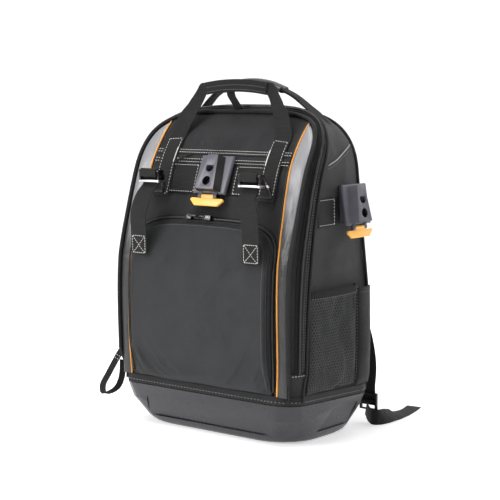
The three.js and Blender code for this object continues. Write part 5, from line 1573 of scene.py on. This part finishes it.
@dataclass(frozen=True)
class CompressionStraps:
    """The two straps that pull the pocket to the handle legs, with their hooks."""

    web: float = 33 * MM
    box_x: float = 113 * MM
    low: float = 280 * MM
    high: float = 313 * MM
    buckle_x: float = 101 * MM
    buckle_y: float = -116 * MM
    buckle_z: float = 404 * MM
    bar: float = 2.4 * MM

    def strap(self, side: int, pocket: FrontPocket) -> Band:
        """Gives one strap's band."""
        turn = self.bar + 1.4 * MM
        bar_high = self.buckle_z + 10 * MM - self.bar
        bar_low = self.buckle_z - 10 * MM + self.bar

        def face(z: float) -> float:
            """Gives the y of the strap's middle on the pocket."""
            return pocket.face(0, z, 43 * MM).y - 1.1 * MM

        spots = [
            (self.box_x, face(self.low), self.low),
            (self.box_x, min(face(self.high), face(self.low)) - 1 * MM, self.high),
            (self.box_x - 1 * MM, self.buckle_y - 14 * MM, mix(self.high, bar_low, 0.4)),
            (self.buckle_x + 2 * MM, self.buckle_y - 9 * MM, mix(self.high, bar_low, 0.76)),
            (self.buckle_x, self.buckle_y + turn, bar_low - 5 * MM),
            (self.buckle_x, self.buckle_y + turn, bar_low),
        ]
        for degrees in (0, 45, 90, 135, 180):
            a = math.radians(degrees)
            spots.append((self.buckle_x, self.buckle_y + turn * math.cos(a), bar_high + turn * math.sin(a)))
        spots.append((self.buckle_x, self.buckle_y - turn, self.buckle_z - 1 * MM))
        return Band([Row(Vector((side * x, y, z)), Vector((1, 0, 0)), self.web) for x, y, z in spots])

    def build(self, pocket: FrontPocket) -> None:
        """Builds the straps, hooks and their stitched boxes."""
        sewn = Stitches(0.5 * MM, 3.0 * MM, 4.2 * MM)
        for name, side in SIDES:
            band = self.strap(side, pocket)
            dress(to_object(band.mesh(190), f"pull_strap_{name}"), WEB, [f"compression_strap_{name}"])
            face = 1 if band.point(0, 0.02, 0, 1).y < band.point(0, 0.02, 0, -1).y else -1
            sewn.box(
                lambda s, t, b=band, f=face: b.point(s, t, 0.25 * MM, f),
                (-0.8, 0.012), (0.8, 0.082), cross=True,
            )
            node = f"strap_hook_{name}"
            dress(to_object(copy_of(node, 0.35 * MM), f"hook_{name}", 50), HOOK, [node])
        sewn.done("box_stitches")


@dataclass(frozen=True)
class MainPull:
    """The slider at the foot of the main zip, its ring and its webbing loop."""

    def build(self) -> None:
        """Builds the slider, the ring and the loop."""
        dress(to_object(copy_of("main_slider", 0.8 * MM), "zip_slider", 50), METAL, ["main_slider"])
        dress(to_object(copy_of("pull_ring", 0.2 * MM), "split_ring", 60), CHROME, ["pull_ring"])
        low, high = (Vector(corner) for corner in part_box("pull_loop"))
        top = Vector((mix(low.x, high.x, 0.72), mix(low.y, high.y, 0.93), high.z - 0.5 * MM))
        path = (
            (0, 0, 0), (-4, -8, -14), (-8, -22, -36), (-10, -34, -54), (-8, -32, -68),
            (-1, -12, -62), (2, -2, -44), (2, 1, -16),
        )
        rows = [Row(top + Vector((x, y, z)) * MM, Vector((1, 0.3, 0)), 11 * MM, 1.7 * MM) for x, y, z in path]
        band = Band(rows)
        dress(to_object(band.mesh(110), "webbing_pull"), WEB, ["pull_loop"])
        sewn = Stitches()
        for t in (0.1, 0.14):
            sewn.run(lambda u, t=t: band.point(mix(-0.8, 0.8, u), t, 0.2 * MM, -1), 4)
            sewn.run(lambda u, t=t: band.point(mix(-0.8, 0.8, u), t, 0.2 * MM, 1), 4)
        sewn.done("pull_stitches")


@dataclass(frozen=True)
class Back:
    """The back pad, the shoulder straps, their webbing, locks and free ends."""

    pad_half: float = 112 * MM
    pad_low: float = 95 * MM
    pad_high: float = 470 * MM
    pad_corner: float = 36 * MM
    pad_thick: float = 12 * MM
    strap_x: float = 62 * MM
    strap_wide: float = 62 * MM
    strap_pad: float = 11 * MM
    tail_wide: float = 25 * MM
    lock_x: float = 151 * MM
    lock_y: float = 134 * MM
    lock_z: float = 34 * MM

    def build(self) -> None:
        """Builds the back's pieces."""
        self.pad()
        for name, side in SIDES:
            strap = self.strap(side)
            bm = strap.mesh(120, power=3.4, crown=0.12, around=36)
            made = to_object(bm, f"padded_strap_{name}")
            dress(made, PAD, [f"shoulder_strap_{name}"])
            sewn = Stitches(0.28 * MM, 2.4 * MM, 3.8 * MM)
            for s in (-0.8, 0.8):
                sewn.run(lambda t, s=s: strap.point(s, mix(0.03, 0.97, t), -0.4 * MM, -1), 90)
            sewn.done(f"strap_stitches_{name}", FAINT_THREAD)
            for label, face in (("inner", -1.0), ("outer", 1.0)):
                bm = rod(
                    lambda t, f=face: strap.point(f, mix(0.02, 0.99, t), -strap.frame(t)[4] / 2),
                    1.4 * MM, 120, 8,
                )
                dress(to_object(bm, f"strap_{label}_binding_{name}"), BINDING)
            dress(to_object(self.web(side, strap).mesh(80), f"strap_web_{name}"), WEB, [f"lower_web_{name}"])
            node = f"ladder_lock_{name}"
            dress(to_object(copy_of(node, 0.7 * MM), f"buckle_{name}", 50), LOCK, [node])
            dress(to_object(self.tail(side).mesh(110), f"free_end_{name}"), WEB, [f"strap_tail_{name}"])

    def pad(self) -> None:
        """Makes the padded back with its sewn channels."""
        def edge(t: float) -> tuple[float, float]:
            """Gives a point of the rounded outline."""
            corner, f = divmod(t * 4, 1.0)
            x = self.pad_half
            z0, z1 = self.pad_low, self.pad_high
            r = self.pad_corner
            runs = (
                ((x, z0), (x, z1)), ((x, z1), (-x, z1)), ((-x, z1), (-x, z0)), ((-x, z0), (x, z0)),
            )
            (ax, az), (bx, bz) = runs[int(corner) % 4]
            px, pz = mix(ax, bx, f), mix(az, bz, f)
            cx = math.copysign(max(abs(px) - (self.pad_half - r), 0.0), px)
            mid = (z0 + z1) / 2
            cz = math.copysign(max(abs(pz - mid) - ((z1 - z0) / 2 - r), 0.0), pz - mid)
            reach = math.hypot(cx, cz)
            if reach > r:
                px, pz = px - cx + cx * r / reach, pz - cz + cz * r / reach
            return px, pz

        base = BAG.back_y + 0.4 * MM
        wall = 0.95

        def place(u: float, w: float) -> Vector:
            """Gives a point of the pad, pressed in at its channels."""
            a, b = 2 * u - 1, 2 * w - 1
            m = max(abs(a), abs(b))
            scale = min(m / wall, 1.0) / max(m, 1e-9)
            x, z, near = arch_patch(edge, a * scale, b * scale, (0.0, 0.2825))
            if m > wall:
                return Vector((x, base + self.pad_thick * 0.5 * (1 - (m - wall) / (1 - wall)), z))
            rise = curve_at(((0, 0.5), (0.03, 0.8), (0.09, 0.97), (0.2, 1.0), (1, 1.0)), 1 - near)
            channel = max(math.exp(-((abs(x) - 38 * MM) / (4 * MM)) ** 2),
                          *(math.exp(-((z - level * MM) / (4 * MM)) ** 2) for level in (170, 282, 394)))
            return Vector((x, base + self.pad_thick * rise - 5 * MM * channel * smooth(0, 0.08, 1 - near), z))

        made = to_object(skin(place, 90, 120, facing=Vector((0, 1, 0))), "back_cushion")
        settle(made, lambda at: at.y < base + self.pad_thick * 0.62, 0.6, 0.01, 3 * MM, 12)
        dress(thicken(made, 1.5 * MM), PAD, ["back_pad"])

    def strap(self, side: int) -> Band:
        """Gives one shoulder strap's band."""
        top = BAG.top * BACK.top
        lie = BAG.back_y + 0.9 * MM + self.pad_thick + self.strap_pad / 2
        rows = []
        for x, y, drop, wide, thick in (
            (0.90, 0.12, 14, 0.80, 0.30), (0.90, 0.34, 24, 0.92, 0.70), (0.93, 0.92, 37, 1.00, 1.00),
            (0.97, 1.00, 52, 1.00, 1.00), (1.08, 1.00, 95, 1.00, 1.00), (1.25, 1.00, 150, 1.00, 1.00),
            (1.48, 1.00, 205, 0.96, 1.00), (1.74, 1.00, 257, 0.86, 1.00), (1.98, 1.00, 300, 0.72, 0.80),
            (2.14, 1.00, 330, 0.60, 0.40),
        ):
            at = Vector((side * self.strap_x * x, mix(BAG.back_y, lie, y), top - drop * MM))
            rows.append(Row(at, Vector((1, 0, side * 0.3)), self.strap_wide * wide, self.strap_pad * thick))
        return Band(rows)

    def web(self, side: int, strap: Band) -> Band:
        """Gives the webbing from the strap's end to the lock."""
        start = strap.rows[-1].at
        lock = Vector((side * self.lock_x, self.lock_y, self.lock_z + 14 * MM))
        rows = [Row(start + Vector((0, 0, 6 * MM)), Vector((1, 0, side * 0.3)), self.tail_wide)]
        table = ((-4, -4, 0.25, 0.2), (3, -2, 0.6, 0.0), (0, 0, 0.9, 0.0), (0, 0, 1.0, 0.0))
        for out, back, share, lean in table:
            z = mix(start.z, lock.z, share)
            at = Vector((side * (self.lock_x + out * MM), self.lock_y + back * MM, z))
            rows.append(Row(at, Vector((1, 0, side * lean)), self.tail_wide))
        rows.append(Row(lock - Vector((0, 0, 20 * MM)), Vector((1, 0, 0)), self.tail_wide))
        return Band(rows)

    def tail(self, side: int) -> Band:
        """Gives the free end that lies back along the floor."""
        y0 = self.lock_y - 3.6 * MM
        edge = self.tail_wide / 2 + 0.3 * MM
        rows = []
        for x, y, z, up, over in (
            (-2, 0, edge + 9 * MM, 1, 0), (8, -8, edge + 3 * MM, 1, 0), (19, -13, edge, 1, 0),
            (28, -8, edge, 1, -0.1), (30, 8, edge * 0.94, 1, -0.5), (27, 32, edge * 0.75, 0.7, -0.8),
            (21, 66, edge * 0.3, 0.2, -1), (13, 104, 1.6 * MM, 0.03, -1), (4, 136, 1.6 * MM, 0.03, -1),
        ):
            at = Vector((side * (self.lock_x + x * MM), y0 + y * MM, z))
            rows.append(Row(at, Vector((side * over, 0, up)), self.tail_wide))
        return Band(rows)


@dataclass(frozen=True)
class Studio:
    """The pale floor, the soft lights and the camera."""

    focal: float = 104.4
    azimuth: float = 38.5
    elevation: float = 6.5
    distance: float = 2.34
    target: tuple[float, float, float] = (0.0, 0.0125, 0.282)

    def build(self) -> None:
        """Builds the stage."""
        self.camera()
        bm = bmesh.new()
        bmesh.ops.create_grid(bm, x_segments=2, y_segments=2, size=14.0)
        floor = to_object(bm, "floor")
        tree = Tree("pale_floor")
        tree.set(Base_Color=(0.9, 0.9, 0.905, 1), Roughness=0.6)
        tree.set(Emission_Color=(1, 1, 1, 1), Emission_Strength=0.45)
        floor.data.materials.append(tree.material)
        bm = bmesh.new()
        bmesh.ops.create_cone(
            bm, cap_ends=False, segments=48, radius1=9.0, radius2=9.0, depth=16.0,
            matrix=Matrix.Translation((0, 0, 6)),
        )
        bmesh.ops.delete(bm, geom=[f for f in bm.faces if f.calc_center_median().y < 2.0], context="FACES")
        backdrop = to_object(bm, "backdrop")
        tree = Tree("lit_backdrop")
        tree.set(Base_Color=(0, 0, 0, 1), Emission_Color=(1, 1, 1, 1), Emission_Strength=1.05)
        backdrop.data.materials.append(tree.material)
        world = bpy.data.worlds.new("studio")
        world.use_nodes = True
        world.node_tree.nodes["Background"].inputs["Color"].default_value = (1, 1, 1, 1)
        world.node_tree.nodes["Background"].inputs["Strength"].default_value = 0.24
        bpy.context.scene.world = world
        bpy.context.scene.view_settings.view_transform = "Standard"
        self.light("overhead", (-0.2, -0.5, 2.4), 1.2, 42)
        self.light("left_box", (-1.5, -2.3, 1.5), 1.3, 62)
        self.light("right_box", (2.6, -0.4, 1.3), 0.5, 5)
        self.light("rear_box", (1.0, 2.4, 1.6), 1.0, 12)

    def camera(self) -> None:
        """Makes the camera at the photograph's angle."""
        data = bpy.data.cameras.new("camera")
        data.lens, data.sensor_width = self.focal, 36.0
        data.clip_end = 60.0
        made = bpy.data.objects.new("camera", data)
        bpy.context.scene.collection.objects.link(made)
        a, e = math.radians(self.azimuth), math.radians(self.elevation)
        away = Vector((math.sin(a) * math.cos(e), -math.cos(a) * math.cos(e), math.sin(e)))
        made.location = Vector(self.target) + away * self.distance
        made.rotation_euler = away.to_track_quat("Z", "Y").to_euler()
        bpy.context.scene.camera = made

    def light(self, name: str, at: tuple[float, float, float], size: float, power: float) -> None:
        """Makes one soft box that faces the bag."""
        data = bpy.data.lights.new(name, "AREA")
        data.shape, data.size, data.energy = "SQUARE", size, power
        made = bpy.data.objects.new(name, data)
        bpy.context.scene.collection.objects.link(made)
        made.location = at
        made.rotation_euler = (Vector(at) - Vector(self.target)).to_track_quat("Z", "Y").to_euler()


def side_patch() -> None:
    """Makes the webbing behind the side hub and its stitches."""
    front, back, low, high = -50, 78, 332, 378

    def place(u: float, w: float) -> Vector:
        """Gives a point of the webbing, thin at its edge."""
        edge = min(1.0, 10 * min(u, 1 - u, w, 1 - w))
        return BAG.side(mix(front, back, u) * MM, mix(low, high, w) * MM, 1, 0.3 * MM + 1.1 * MM * edge)

    bm = skin(place, 30, 14, facing=Vector((1, 0, 0)))
    dress(thicken(to_object(bm, "side_webbing"), 1.0 * MM), WEB, ["side_patch"])
    sewn = Stitches()
    for a, b in (((-46, 374), (-3, 374)), ((-3, 374), (-3, 336)), ((-3, 336), (-46, 336))):
        spots = [(mix(a[0], b[0], k / 4), mix(a[1], b[1], k / 4)) for k in range(5)]
        points = [BAG.side(y * MM, z * MM, 1, 2.0 * MM) for y, z in spots]
        sewn.run(lambda t, p=points: spline(p, t), 20)
    sewn.done("side_patch_stitches")


def main() -> None:
    """Builds every sub-assembly."""
    logging.basicConfig(level=logging.INFO, format="%(message)s")
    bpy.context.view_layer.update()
    Studio().build()
    Base().build()
    Shell().build()
    FrontPanel().build()
    pocket = FrontPocket()
    pocket.build()
    Hubs().build()
    side_patch()
    SidePockets().build()
    Handles().build()
    CompressionStraps().build(pocket)
    MainPull().build()
    Back().build()


if __name__ == "__main__":
    main()
